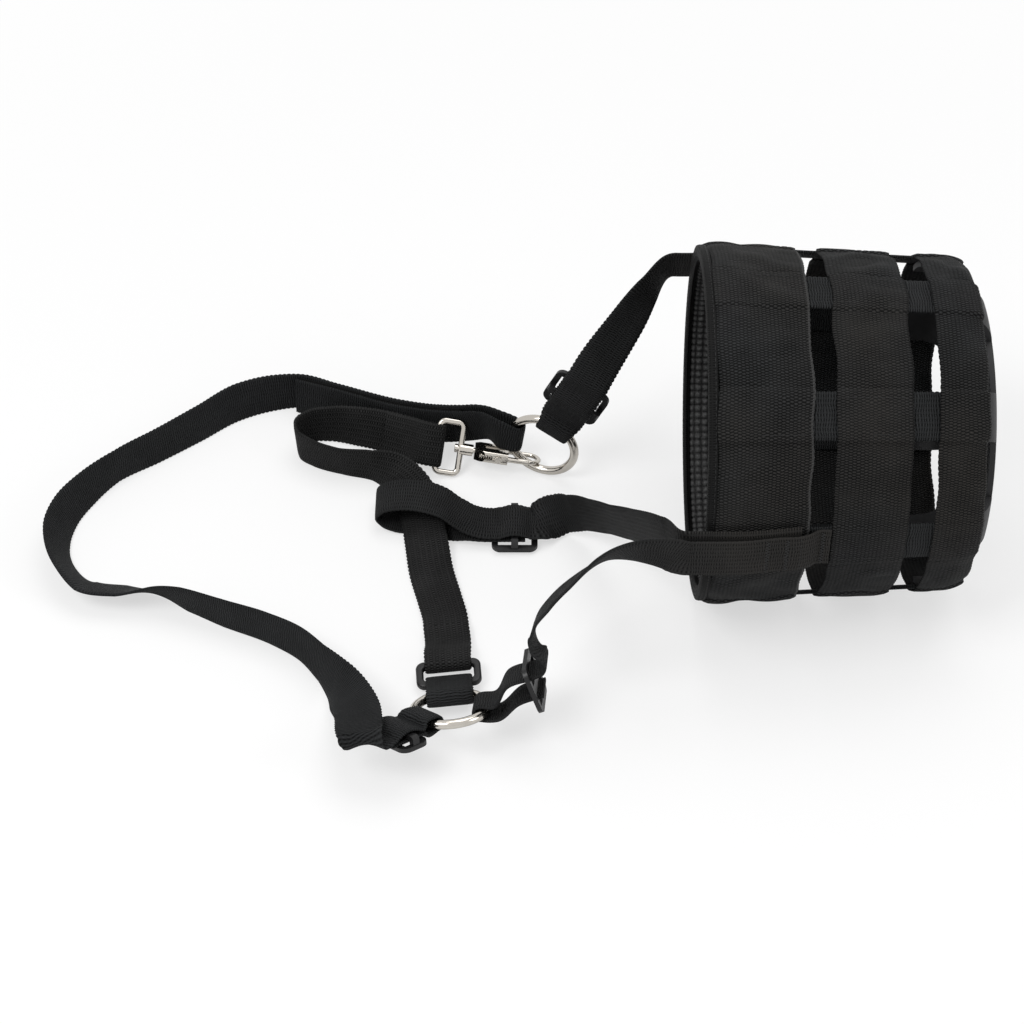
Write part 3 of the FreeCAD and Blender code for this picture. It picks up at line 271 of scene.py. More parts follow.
def mesh_lining():
    """Knitted spacer mesh: small open cells over soft pillows, with painted shade between them and a painted
    highlight on their tops.
    """
    shader = Shader("spacer_mesh")
    along, across, cloth = shader.place_on_cloth()
    cells = shader.node("ShaderNodeTexVoronoi", feature="SMOOTH_F1")
    shader.put(cells.inputs["Vector"], cloth)
    shader.put(cells.inputs["Scale"], 900.0)
    shader.put(cells.inputs["Smoothness"], 0.4)
    height = shader.maths("SUBTRACT", 1.0, cells.outputs["Distance"])
    ridge_x = shader.ridges(across, PILLOW)
    ridge_y = shader.ridges(along, 2 * math.pi * MOUTH_RADIUS / PILLOW_COUNT)
    crown = shader.maths("MULTIPLY", shader.maths("POWER", ridge_x, 0.7), shader.maths("POWER", ridge_y, 0.7))
    shader.bump(height, 0.0004)
    # Painted shade and highlight: the gaps between the pillows and the cells' edges are painted near black,
    # the pillows' tops lighter.
    tone = shader.maths("MULTIPLY", crown, shader.maths("MULTIPLY_ADD", height, 0.5, 0.5))
    tone = shader.maths("POWER", tone, 1.6)
    colour = shader.mix(tone, grey(0.0015), grey(0.115))
    return shader.set(Base_Color=colour, Roughness=0.50, Sheen_Weight=0.01, Specular_IOR_Level=0.15)


def moulded(name, colour, roughness, grain, depth):
    """Rubber, plastic or thread: cloudy in tone, with a fine grain."""
    shader = Shader(name)
    place = shader.object_place()
    speckle = shader.noise(place, grain, 4.0)
    cloud = shader.noise(place, 30.0)
    shader.bump(speckle, depth)
    dark, light = ([part * share for part in colour] + [1.0] for share in (0.75, 1.25))
    tint = shader.mix(cloud, dark, light)
    rough = shader.maths("MULTIPLY_ADD", cloud, 0.16, roughness - 0.08)
    return shader.set(Base_Color=tint, Roughness=rough, Specular_IOR_Level=0.32)


def polished(name):
    """Plated metal with a slight haze."""
    shader = Shader(name)
    place = shader.object_place()
    haze = shader.noise(place, 70.0, 5.0)
    fine = shader.noise(place, 900.0, 3.0)
    shader.bump(fine, 0.00002)
    rough = shader.maths("MULTIPLY_ADD", haze, 0.14, 0.06)
    colour = shader.mix(haze, (0.42, 0.39, 0.35, 1.0), (0.64, 0.61, 0.56, 1.0))
    return shader.set(Base_Color=colour, Metallic=1.0, Roughness=rough)


LINING_CLOTH = mesh_lining()
RUBBER = moulded("base_rubber", (0.016, 0.016, 0.017), 0.55, 900.0, 0.00006)
PLASTIC = moulded("black_plastic", (0.008, 0.008, 0.0085), 0.36, 1400.0, 0.00003)
NICKEL = polished("nickel_plate")
THREAD = moulded("thread", (0.011, 0.011, 0.0113), 0.6, 2500.0, 0.00005)


# ------------ meshes
def build(name, points, faces, cloth, material):
    """Mesh object from points and faces, with metres along and across as its UV map."""
    mesh = bpy.data.meshes.new(name)
    mesh.from_pydata([tuple(p) for p in points], [], faces)
    mesh.materials.append(material)
    uv = mesh.uv_layers.new(name="cloth")
    corners = np.zeros(len(mesh.loops), np.int64)
    mesh.loops.foreach_get("vertex_index", corners)
    uv.data.foreach_set("uv", np.array(cloth, np.float32)[corners].ravel())
    mesh.polygons.foreach_set("use_smooth", [True] * len(mesh.polygons))
    mesh.update()
    made = bpy.data.objects.new(name, mesh)
    bpy.context.scene.collection.objects.link(made)
    return made


def tube_faces(rings, sides, start=0):
    """Faces of an open tube from rings of points."""
    faces = []
    for i in range(rings - 1):
        here = start + i * sides
        after = here + sides
        for k in range(sides):
            faces.append((here + k, here + (k + 1) % sides, after + (k + 1) % sides, after + k))
    return faces


def closed_tube(rings, sides):
    """Faces of a tube and of its two ends."""
    first = tuple(reversed(range(sides)))
    last = tuple(range((rings - 1) * sides, rings * sides))
    return tube_faces(rings, sides) + [first, last]


def dress(made, *nodes):
    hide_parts(*nodes)
    return made


# ------------ lines that the webbing follows
def unit(x, y, z):
    return Vector((x, y, z)).normalized()


def square_to(axis, lean):
    """Direction square to axis that is nearest to lean."""
    return (lean - axis * axis.dot(lean)).normalized()


def tangents(spots):
    """Chord-weighted tangent at each point of a smooth line through them."""
    chords = [after - here for here, after in zip(spots, spots[1:])]
    result = [chords[0].normalized()]
    for before, after in zip(chords, chords[1:]):
        a, b = before.length, after.length
        result.append((before * (b / a) + after * (a / b)) * (1.0 / (a + b)))
    return result + [chords[-1].normalized()]


def smooth(stations):
    """Fill in a smooth line through stations (point, width direction, share of full width)."""
    slopes = tangents([station[0] for station in stations])
    filled = []
    for here, after, leave, arrive in zip(stations, stations[1:], slopes, slopes[1:]):
        chord = (after[0] - here[0]).length
        pieces = max(1, math.ceil(chord / STEP))
        for k in range(pieces):
            f = k / pieces
            a = (1 + 2 * f) * (1 - f) ** 2
            b = f * (1 - f) ** 2 * chord
            c = f * f * (3 - 2 * f)
            d = f * f * (f - 1) * chord
            spot = here[0] * a + leave * b + after[0] * c + arrive * d
            filled.append((spot, here[1] * (1 - f) + after[1] * f, here[2] * (1 - f) + after[2] * f))
    return filled + [stations[-1]]


def frames(stations):
    """Point, run, width and face directions and share of width at each station."""
    slopes = tangents([station[0] for station in stations])
    result = []
    for (spot, across, share), slope in zip(stations, slopes):
        run = slope.normalized()
        width = square_to(run, across)
        result.append((spot, run, width, run.cross(width), share))
    return result


def ribbon(name, stations, material, nodes, thick=WEB, width=WIDTH, serrated=0.00060):
    """Webbing strap with rounded edges, notched by the turns of the weft."""
    line = frames(smooth(stations))
    half = thick / 2
    pitch = 0.0026
    flat = (-0.5, -0.38, -0.2, 0.0, 0.2, 0.38, 0.5)
    made_points, cloth = [], []
    travel = 0.0
    for i, (spot, _, across, face, share) in enumerate(line):
        if i:
            travel += (spot - line[i - 1][0]).length
        edge = serrated * (abs(math.sin(math.pi * travel / pitch)) ** 0.7 - 0.5)
        body = width * share - thick
        crown = 0.00012 * math.sin(travel * 90.0)
        bulge = body / 2 + half * 0.8 + edge
        for side in (1, -1):
            for part in flat[::side]:
                puff = 0.82 if abs(part) == flat[-1] else 1.0
                rise = side * half * puff + crown * (0.25 - part * part)
                made_points.append(spot + across * (body * part) + face * rise)
                cloth.append((travel, width * part))
            made_points.append(spot + across * (side * bulge) + face * (side * half * 0.2))
            cloth.append((travel, side * width * 0.53))
    faces = closed_tube(len(line), 2 * len(flat) + 2)
    made = build(name, made_points, faces, cloth, material)
    return dress(made, *nodes)


def straight_on(start, run, reaches, width):
    """Stations of full width at reaches from start."""
    return [(start + run * reach, width, 1.0) for reach in reaches]


def half_turn(centre, first, second, radius, across, share=1.0):
    """Stations of half a circle, from the first direction by way of the second."""
    stations = []
    for k in range(FOLD_STEPS + 1):
        angle = math.pi * k / FOLD_STEPS
        spot = centre + first * (radius * math.cos(angle)) + second * (radius * math.sin(angle))
        stations.append((spot, across, share))
    return stations


def turn_back(middle, spread):
    """Two layers that part by spread about a middle line, joined by a fold round its first
    station. A pair in spread is the upper and the under layer's own."""
    upper, under = [], []
    for (spot, run, across, face, share), rise in zip(frames(middle), spread):
        above, below = rise if isinstance(rise, tuple) else (rise, rise)
        upper.append((spot + face * above, across, share))
        under.append((spot - face * below, across, share))
    spot, run, across, face, share = frames(middle)[0]
    fold = half_turn(spot, face * -1, run * -1, spread[0], across, share)
    return list(reversed(under)) + fold[1:-1] + upper


def over_bar(middle, run, across, start, stop):
    """Stations and spreads of two layers through a slide, the upper one over its bar."""
    leads = [-reach for reach in BAR_LEAD] + list(reversed(BAR_LEAD))
    spread = [CLOSE_SPREAD]
    for lead in leads:
        share = (BAR_LEAD[0] - abs(lead)) / (BAR_LEAD[0] - BAR_LEAD[-1])
        spread.append((CLOSE_SPREAD + (OVER_BAR - CLOSE_SPREAD) * share ** 0.8, CLOSE_SPREAD))
    return straight_on(middle, run, [start] + leads + [stop], across), spread + [CLOSE_SPREAD]


def fold_across(centre, before, after, face, radius):
    """Stations of a slanting fold from the run before, on the face side, to after, under it."""
    edge = (before + after).normalized()
    over = (before - after).normalized()
    along, around = before.dot(edge), before.dot(over)
    result = []
    for k in range(FOLD_STEPS + 1):
        angle = math.pi * k / FOLD_STEPS
        travel = (angle - math.pi / 2) * radius * along / around
        spot = centre + edge * travel + face * (radius * math.cos(angle)) + over * (radius * math.sin(angle))
        tangent = over * math.cos(angle) - face * math.sin(angle)
        result.append((spot, edge * -around + tangent * along, 1.0))
    return result


def ring_side(level, rise, degrees):
    """Outward direction and wire direction at an angle round a ring."""
    c, s = math.cos(math.radians(degrees)), math.sin(math.radians(degrees))
    return level * c + rise * s, level * -s + rise * c


def by_hand(rows):
    """Stations of full width from listed rows: a place and a width direction."""
    return [(Vector(row[:3]), unit(*row[3:]), 1.0) for row in rows]


def about_x(turn):
    """Outward and across directions of a strap sewn on the basket at a turn about X."""
    angle = math.radians(turn)
    return radial(-angle), Vector((0, math.cos(angle), math.sin(angle)))


def steady(route):
    """The route with every width direction on the same side."""
    for i in range(1, len(route)):
        if route[i][1].dot(route[i - 1][1]) < 0:
            route[i] = (route[i][0], route[i][1] * -1, route[i][2])
    return route


CREST = wall(MOUTH_BAND[0], LAP + GAP) + LIP_RISE
RING_SPREAD = RING_WIRE / 2 + FIT + WEB / 2
CLOSE_SPREAD = WEB / 2 + 0.00025
TAPE_SPREAD = WEB / 2 + TAPE_THICK + 0.0005
SLIDE_THICK = 0.0024
OVER_BAR = CLOSE_SPREAD + SLIDE_THICK + 0.0001
BAR_LEAD = (0.0090, 0.0056, 0.0029)
# Share of its width that a strap keeps in a ring, and where it has left the ring.
GATHER = 0.8
RING_EXIT = RING_OUTER / 2 + 0.002


def fold_reach(share):
    """How far out from a ring's centre the middle of a fold of that share of the width lies."""
    chord = math.sqrt(RING_MEAN ** 2 - (WIDTH * share / 2) ** 2)
    return chord - RING_WIRE / 2 * RING_MEAN / chord + RING_WIRE / 2


def ring_line(centre, out, wire):
    """Stations of a strap that is gathered in a ring and widens as it leaves it."""
    return [(centre + out * fold_reach(GATHER), wire, GATHER),
            (centre + out * RING_EXIT, wire, 0.5 + GATHER / 2)]


FAR_CENTRE = Vector((-0.083, 0.0625, FLOOR + RING_OUTER / 2 + 0.0002))
FAR_LEVEL = unit(0.940, -0.342, 0)
FAR_RISE = Vector((0, 0, 1))
NEAR_CENTRE = Vector((-0.1325, -0.1340, FLOOR + 0.0191))
NEAR_LEVEL = unit(0.98, 0.20, 0)
NEAR_RISE = square_to(NEAR_LEVEL, unit(0.178, -0.885, 0.43))

FAR_CHEEK_ROUTE = by_hand([
    (-0.0526, 0.058, -0.0099, -0.8, 0.2, 0.55),
    (-0.0378, 0.07, 0.0092, -0.55, 0, 0.8),
    (-0.0253, 0.08, 0.0259, -0.28, -0.2, 0.93),
])
CROWN_DOUBLE = by_hand([
    (-0.117, 0.0804, -0.074, 0.02, -0.22, 1),
    (-0.127, 0.0834, -0.0774, 0, -0.1, 1),
    (-0.14, 0.0874, -0.0816, 0, 0, 1),
    (-0.167, 0.095, -0.0843, 0, 0.02, 1),
    (-0.203, 0.108, -0.0845, -0.04, 0.12, 1),
    (-0.228, 0.117, -0.0845, -0.1, 0.14, 1),
])
CROWN_ROUTE = by_hand([
    (-0.243, 0.118, -0.0852, -0.16, 0.15, 1),
    (-0.263, 0.11, -0.0852, -0.12, 0.2, 1),
    (-0.285, 0.091, -0.0852, -0.02, 0.18, 1),
    (-0.307, 0.0725, -0.0852, 0, 0.1, 1),
    (-0.329, 0.055, -0.085, -0.05, -0.05, 1),
    (-0.343, 0.038, -0.0852, -0.3, -0.1, 1),
    (-0.3535, 0.019, -0.0856, -0.42, 0, 1),
    (-0.3565, 0, -0.0858, -0.5, 0, 0.92),
    (-0.35, -0.022, -0.0864, -0.45, -0.4, 0.85),
    (-0.336, -0.037, -0.0884, -0.1, -0.85, 0.55),
    (-0.316, -0.0405, -0.0886, 0, -0.85, 0.58),
    (-0.298, -0.043, -0.0866, 0.04, -0.62, 0.8),
    (-0.28, -0.0505, -0.0848, 0.1, -0.28, 0.98),
    (-0.258, -0.0605, -0.0849, 0.06, -0.1, 1),
    (-0.232, -0.0715, -0.0852, 0, 0.02, 1),
    (-0.214, -0.083, -0.0852, 0.05, 0.12, 1),
    (-0.202, -0.097, -0.085, 0.2, 0.14, 0.95),
    (-0.193, -0.111, -0.0825, 0.52, 0.16, 0.84),
    (-0.186, -0.126, -0.0775, 0.84, 0.18, 0.5),
    (-0.181, -0.14, -0.0715, 0.95, 0.22, 0.18),
])
NEAR_CHEEK_ROUTE = by_hand([
    (-0.0842, -0.1259, -0.0536, 0.06, 0.91, -0.42),
    (-0.083, -0.1248, -0.0508, 0.06, 0.91, -0.42),
    (-0.0846, -0.1233, -0.0482, 0.06, 0.91, -0.42),
    (-0.088, -0.1204, -0.0459, 0.07, 0.9, -0.44),
    (-0.0898, -0.116, -0.0426, 0.09, 0.88, -0.46),
    (-0.0882, -0.1116, -0.0368, 0.12, 0.88, -0.46),
    (-0.081, -0.106, -0.0282, 0.15, 0.9, -0.4),
    (-0.0685, -0.1026, -0.0146, 0.15, 0.84, -0.52),
    (-0.0515, -0.1008, 0.0006, 0.06, 0.58, -0.8),
    (-0.035, -0.1014, 0.0056, 0, 0.3, -0.95),
    (-0.02, -0.1015, 0.0036, 0, 0.08, -1),
])
CHIN_ROUTE = by_hand([
    (-0.0805, 0.0155, -0.0884, -0.06, 0.8, 0.6),
    (-0.073, 0.0158, -0.0848, -0.15, 0.35, 0.93),
    (-0.0645, 0.0095, -0.0778, -0.24, 0.14, 0.96),
    (-0.0525, -0.0095, -0.0615, -0.38, 0.12, 0.9),
    (-0.042, -0.034, -0.0415, -0.42, 0.12, 0.88),
    (-0.0315, -0.0595, -0.0205, -0.32, 0.14, 0.92),
    (-0.0205, -0.0825, -0.0036, -0.12, 0.06, 0.98),
])
CHIN_UNDER = by_hand([
    (-0.118, 0.0132, -0.0923, 0, 1, 0),
    (-0.124, 0.0144, -0.0927, 0, 1, 0),
    (-0.134, 0.0176, -0.0953, 0, 1, 0),
    (-0.147, 0.0216, -0.0963, 0, 1, 0),
    (-0.158, 0.0234, -0.0964, 0, 1, 0),
    (-0.167, 0.0248, -0.0961, 0, 1, 0),
    (-0.174, 0.026, -0.0933, 0, 1, 0),
    (-0.1775, 0.0265, -0.0881, 0, 1, 0),
    (-0.174, 0.0262, -0.0829, 0, 1, 0),
    (-0.165, 0.0256, -0.0795, 0, 1, 0),
    (-0.151, 0.0236, -0.0787, 0, 1, 0.02),
    (-0.14, 0.021, -0.0811, 0, 1, 0.02),
    (-0.131, 0.0175, -0.0857, 0, 1, 0.02),
    (-0.124, 0.0148, -0.0884, 0, 1, 0),
    (-0.117, 0.0133, -0.0897, 0, 1, 0),
])
THROAT_DOUBLE = by_hand([
    (-0.162, 0.0793, -0.0852, 0.02, 0.58, 0.81),
    (-0.175, 0.0843, -0.0852, 0, 0.52, 0.85),
])
THROAT_ROUTE = by_hand([
    (-0.191, 0.0885, -0.0848, 0, 0.36, 0.93),
    (-0.207, 0.091, -0.0852, 0, 0.14, 0.99),
    (-0.2195, 0.089, -0.0852, -0.02, 0.05, 1),
    (-0.226, 0.0825, -0.0852, -0.05, 0, 1),
    (-0.225, 0.074, -0.0852, -0.05, -0.05, 1),
    (-0.217, 0.0665, -0.0849, 0, -0.12, 1),
    (-0.2, 0.059, -0.0849, 0, -0.16, 0.98),
    (-0.181, 0.055, -0.0847, 0.05, -0.02, 1),
    (-0.168, 0.0485, -0.0846, 0.48, 0.3, 0.76),
    (-0.1575, 0.036, -0.0864, 0.82, 0.22, 0.42),
    (-0.152, 0.019, -0.0902, 0.93, 0.05, 0.3),
    (-0.149, 0.002, -0.0925, 0.97, 0, 0.22),
    (-0.1455, -0.02, -0.0952, 1, 0.03, 0.06),
    (-0.1405, -0.04, -0.0956, 1, 0.05, 0.02),
    (-0.137, -0.056, -0.0952, 1, 0.12, 0),
])

CHIN_SLIDE = Vector((-0.099, 0.013, FLOOR + 0.0064))
HOOK_OUT, HOOK_WIRE = ring_side(FAR_LEVEL, FAR_RISE, 228)
HOOK_SPOT = FAR_CENTRE + HOOK_OUT * RING_MEAN
SNAP_RUN = (HOOK_SPOT - Vector((-0.139, 0.0692, FLOOR + 0.0146))).normalized()
EYE_CENTRE = HOOK_SPOT - SNAP_RUN * 0.0424
TAB_RUN, TAB_WIRE = ring_side(NEAR_LEVEL, NEAR_RISE, 278)
TAB_START = NEAR_CENTRE + TAB_RUN * fold_reach(1.0)
TAB_END = NEAR_CENTRE + TAB_RUN * 0.032
# Height that the near strap stands off at the steps of what it lies on, and middle of the seats.
EASE = 0.0006
SEAT_MIDDLE = 0.034


def to_basket(route, turn, layer, seat):
    """The route led over the rim and on along the basket, where the strap is sewn down.
    seat lists (x, radius) of its middle along the sewn stretch."""
    out, across = about_x(turn)
    if across.dot(route[-1][1]) < 0:
        across = across * -1
    crest = CREST + WEB / 2 + layer
    meet = -0.003 - FIT
    rim = [(meet - lead, crest) for lead in (0.008, 0.004, 0)]
    return route + [(from_axis(x, out, radius), across, 1.0) for x, radius in rim + seat]


def on_wall(x, layer, ease=0.0):
    """Seat of a strap whose inner face is layer over the lengthwise straps."""
    return x, wall(x, layer) + WEB / 2 + ease


def plain_seat(end):
    """Seat of a strap that lies on the mouth band alone."""
    crest = CREST + WEB / 2
    over = wall(end, LAP + GAP) + WEB / 2
    return [(LIP_ROLL, crest), (SEAT_MIDDLE, (crest + over) / 2), (end, over)]


def crossing(name, stations, nodes, turn):
    """A strap that runs from the halter on to the basket."""
    made = ribbon(name, stations, ANCHOR_CLOTH, nodes)
    out = about_x(turn)[0]
    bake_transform(made)


def far_cheek_strap():
    close_at, slide_at, end_at = 0.0275, 0.044, 0.060
    out, wire = ring_side(FAR_LEVEL, FAR_RISE, 65)
    through, part = over_bar(FAR_CENTRE + out * slide_at, out, wire, -0.0145, 0.0140)
    line = ring_line(FAR_CENTRE, out, wire) + straight_on(FAR_CENTRE, out, [close_at], wire)
    line += through + straight_on(FAR_CENTRE, out, [end_at], wire)
    ends = turn_back(line, [RING_SPREAD, RING_SPREAD, CLOSE_SPREAD] + part + [CLOSE_SPREAD])
    route = to_basket(FAR_CHEEK_ROUTE, FAR_TURN, 0.0, plain_seat(FAR_END))
    crossing("far_cheek_webbing", steady(ends + route), ["far_cheek_strap", "far_cheek_anchor"], FAR_TURN)


def near_cheek_strap():
    apart_at, slide_at, slot_pitch = 0.036, 0.047, 0.0056
    out, wire = ring_side(NEAR_LEVEL, NEAR_RISE, 14)
    wire.negate()
    run = (out - NEAR_LEVEL.cross(NEAR_RISE) * 0.30).normalized()
    line = ring_line(NEAR_CENTRE, out, wire)
    line += straight_on(NEAR_CENTRE, run, (apart_at, slide_at + 0.0035), wire)
    ends = turn_back(line, [RING_SPREAD, RING_SPREAD, slot_pitch, slot_pitch])
    # It lies on the chin strap's end, then on the mouth band, then on a lengthwise strap.
    seat = [(LIP_ROLL, CREST + LAP + WEB / 2),
            on_wall(SEAT_MIDDLE, LAP + LAP + GAP, EASE),
            on_wall(0.047, LAP + LAP + GAP),
            on_wall(0.051, LAP + GAP, EASE),
            on_wall(MOUTH_BAND[1] + 0.005, GAP + GAP),
            on_wall(NEAR_END, GAP + GAP)]
    route = to_basket(NEAR_CHEEK_ROUTE, NEAR_TURN, LAP + EASE, seat)
    crossing("near_cheek_webbing", steady(ends + route), ["near_cheek_strap", "near_cheek_anchor"], NEAR_TURN)


def chin_strap():
    run, across, up = Vector((1, 0, 0)), Vector((0, 1, 0)), Vector((0, 0, 1))
    under = straight_on(CHIN_SLIDE - up * CLOSE_SPREAD, run, (0.006, -0.005), across)
    upper = []
    line, part = over_bar(CHIN_SLIDE, run, across, -0.0110, 0.0120)
    for (spot, width, share), rise in zip(line, part):
        lift = rise[0] if isinstance(rise, tuple) else rise
        upper.append((spot + up * lift, width, share))
    route = under + CHIN_UNDER + upper + to_basket(CHIN_ROUTE, CHIN_TURN, 0.0, plain_seat(CHIN_END))
    crossing("chin_webbing", steady(route), ["chin_strap", "chin_anchor"], CHIN_TURN)


def crown_strap():
    """The strap behind the ears, folded back at either end, and the tapes that hold its fold."""
    slide_at, slant_at, slant_radius = 0.036, 0.055, 0.0027
    out, wire = ring_side(NEAR_LEVEL, NEAR_RISE, 150)
    wire.negate()
    face = out.cross(wire)
    through, part = over_bar(NEAR_CENTRE + out * slide_at, out, wire, -0.0096, 0.0110)
    near = turn_back(ring_line(NEAR_CENTRE, out, wire) + through, [RING_SPREAD, RING_SPREAD] + part)
    far_out, far_wire = ring_side(FAR_LEVEL, FAR_RISE, 172)
    double = ring_line(FAR_CENTRE, far_out, far_wire * -1) + CROWN_DOUBLE
    far = turn_back(double, [RING_SPREAD, RING_SPREAD] + [TAPE_SPREAD] * len(CROWN_DOUBLE))
    middle = NEAR_CENTRE + out * slant_at + face * CLOSE_SPREAD + face * slant_radius
    slant = fold_across(middle, square_to(face, unit(0.25, -0.90, 0.36)), out * -1, face, slant_radius)
    route = steady(far + CROWN_ROUTE + slant + near[::-1])
    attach(ribbon("crown_webbing", route, STRAP_CLOTH, ["crown_strap"]), "halter")
    for node, side in (("hook_tape", 1), ("loop_tape", -1)):
        lift = side * (TAPE_THICK / 2 + 0.0001)
        tape = [(spot + face * lift, across, 1.0) for spot, _, across, face, _ in frames(double)[3:]]
        piece = ribbon(node + "_cloth", tape, HOOK_CLOTH, [node], thick=TAPE_THICK,
                       width=WIDTH - 0.002, serrated=0.0)
        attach(piece, "halter")


def throat_strap():
    """Folded round the snap's eye at one end, and round the plastic loop at the other."""
    eye_spread = 0.0017 + FIT + WEB / 2
    loop_spread = 0.002 + FIT + WEB / 2 + 0.00015
    eye_width = square_to(SNAP_RUN, unit(0.15, 0.62, 0.77))
    eye = straight_on(EYE_CENTRE - SNAP_RUN * 0.0068, SNAP_RUN * -1, (0, 0.005), eye_width)
    top = turn_back(eye + THROAT_DOUBLE, [eye_spread, eye_spread, CLOSE_SPREAD + 0.0005, CLOSE_SPREAD])
    loop_run = square_to(TAB_WIRE, unit(-0.08, 0.99, 0.02))
    loop = straight_on(TAB_END + loop_run * 0.0136, loop_run, (0, 0.005), TAB_WIRE)
    for spot in ((-0.1352, -0.074, -0.0942), (-0.1365, -0.062, -0.0940)):
        loop.append((Vector(spot), TAB_WIRE, 1.0))
    bottom = turn_back(loop, [loop_spread, loop_spread, CLOSE_SPREAD, CLOSE_SPREAD])
    route = steady(top + THROAT_ROUTE + bottom[::-1])
    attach(ribbon("throat_webbing", route, THROAT_CLOTH, ["throat_strap"]), "halter")


def ring_tab():
    """Short tab round the near ring and the plastic loop, its ends meeting at the loop."""
    rise = TAB_WIRE.cross(TAB_RUN)
    side = rise * RING_SPREAD
    length = (TAB_END - TAB_START).length
    quarters = [length * k / 4 for k in range(1, 4)]
    tab = half_turn(TAB_END, rise, TAB_RUN, RING_SPREAD, TAB_WIRE)
    tab += straight_on(TAB_END - side, TAB_RUN * -1, quarters, TAB_WIRE)
    tab += half_turn(TAB_START, rise * -1, TAB_RUN * -1, RING_SPREAD, TAB_WIRE)
    tab += straight_on(TAB_START + side, TAB_RUN, quarters, TAB_WIRE)
    tab += straight_on(TAB_END + side, TAB_RUN, [-0.0002], TAB_WIRE)
    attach(ribbon("tab_webbing", tab, STRAP_CLOTH, ["ring_tab"]), "halter")


# ------------ basket
def around_bend(start, inner, turn):
    """Middle line (x, radius, angle outward) of a strap along the wall and round the bend.
    inner is the height of its inner face over the rubber."""
    steps = 12
    line = []
    for k in range(steps):
        x = start + (BEND_START - start) * k / steps
        line.append((x, wall(x, inner - LAP + WEB / 2), 0.0))
    radius = BASE_BEND + inner + WEB / 2
    for k in range(steps + 1):
        angle = math.radians(turn) * k / steps
        line.append((BEND_START + radius * math.sin(angle), BEND_CENTRE + radius * math.cos(angle), angle))
    return line


def basket_straps():
    line = around_bend(-0.0006, GAP, 30.0)
    for k in range(STRAP_COUNT):
        number = "_%d" % (k + 1)
        out, across = about_x(360.0 * k / STRAP_COUNT)
        stations = [(from_axis(x, out, r), across, 1.0) for x, r, _ in line]
        made = ribbon("lengthwise_webbing" + number, stations, STRAP_CLOTH,
                      ["basket_strap" + number])
        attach(made, "basket")


# Where a band is lifted by the straps under it, creased beside them and slack beside the
# sewn straps: reaches from the strap's edge.
LIFT_REACH = 0.0034
CREASE_AT, CREASE_WIDTH, CREASE_DEPTH = 0.0020, 0.0011, 0.00060
HELD_REACH, SLACK_REACH = 0.002, 0.008
# Notches of the bands' edges, how far the edges sway, and part of the thickness left at them.
NOTCH, NOTCH_PITCH, SWAY, EDGE_THICK = 0.00040, 0.0034, 0.00022, 0.45


def over_straps(angle):
    """How far a band is lifted by the lengthwise straps under it, from 0 to 1, and how deep
    it is creased beside their edges, at an angle."""
    pitch = 2 * math.pi / STRAP_COUNT
    off = (angle + pitch / 2) % pitch - pitch / 2
    reach = abs(off) * MOUTH_RADIUS - WIDTH / 2
    step = min(1.0, max(0.0, 1.0 - reach / LIFT_REACH))
    crease = math.exp(-((reach - CREASE_AT) / CREASE_WIDTH) ** 2)
    return step * step * (3 - 2 * step), crease


def under_anchor(angle):
    """1 where a sewn strap lies on the mouth band and holds it flat, fading to 0 beside it."""
    held = 0.0
    for turn in (NEAR_TURN, CHIN_TURN, FAR_TURN):
        off = (angle + math.radians(turn) + math.pi) % (2 * math.pi) - math.pi
        beside = (abs(off) * MOUTH_RADIUS - WIDTH / 2 - HELD_REACH) / SLACK_REACH
        held = max(held, 1.0 - min(1.0, max(0.0, beside)))
    return held


def travelled(outline):
    """Distance along an outline of (x, radius) points, at each of them."""
    lengths = [0.0]
    for here, after in zip(outline, outline[1:]):
        lengths.append(lengths[-1] + math.hypot(after[0] - here[0], after[1] - here[1]))
    return lengths


def turned(name, node, around, section, material, inward=False):
    """Piece right round the basket. section gives (x, radius, distance across the cloth) of
    each point of its outline at an angle."""
    made_points, cloth = [], []
    for i in range(around + 1):
        angle = 2 * math.pi * i / around
        for x, radius, across in section(angle):
            made_points.append(from_axis(x, radial(angle), radius))
            cloth.append((angle * MOUTH_RADIUS, across))
    faces = tube_faces(around + 1, len(made_points) // (around + 1))
    if inward:
        faces = [tuple(reversed(face)) for face in faces]
    made = build(name, made_points, faces, cloth, material)
    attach(made, "basket")
    return dress(made, node)


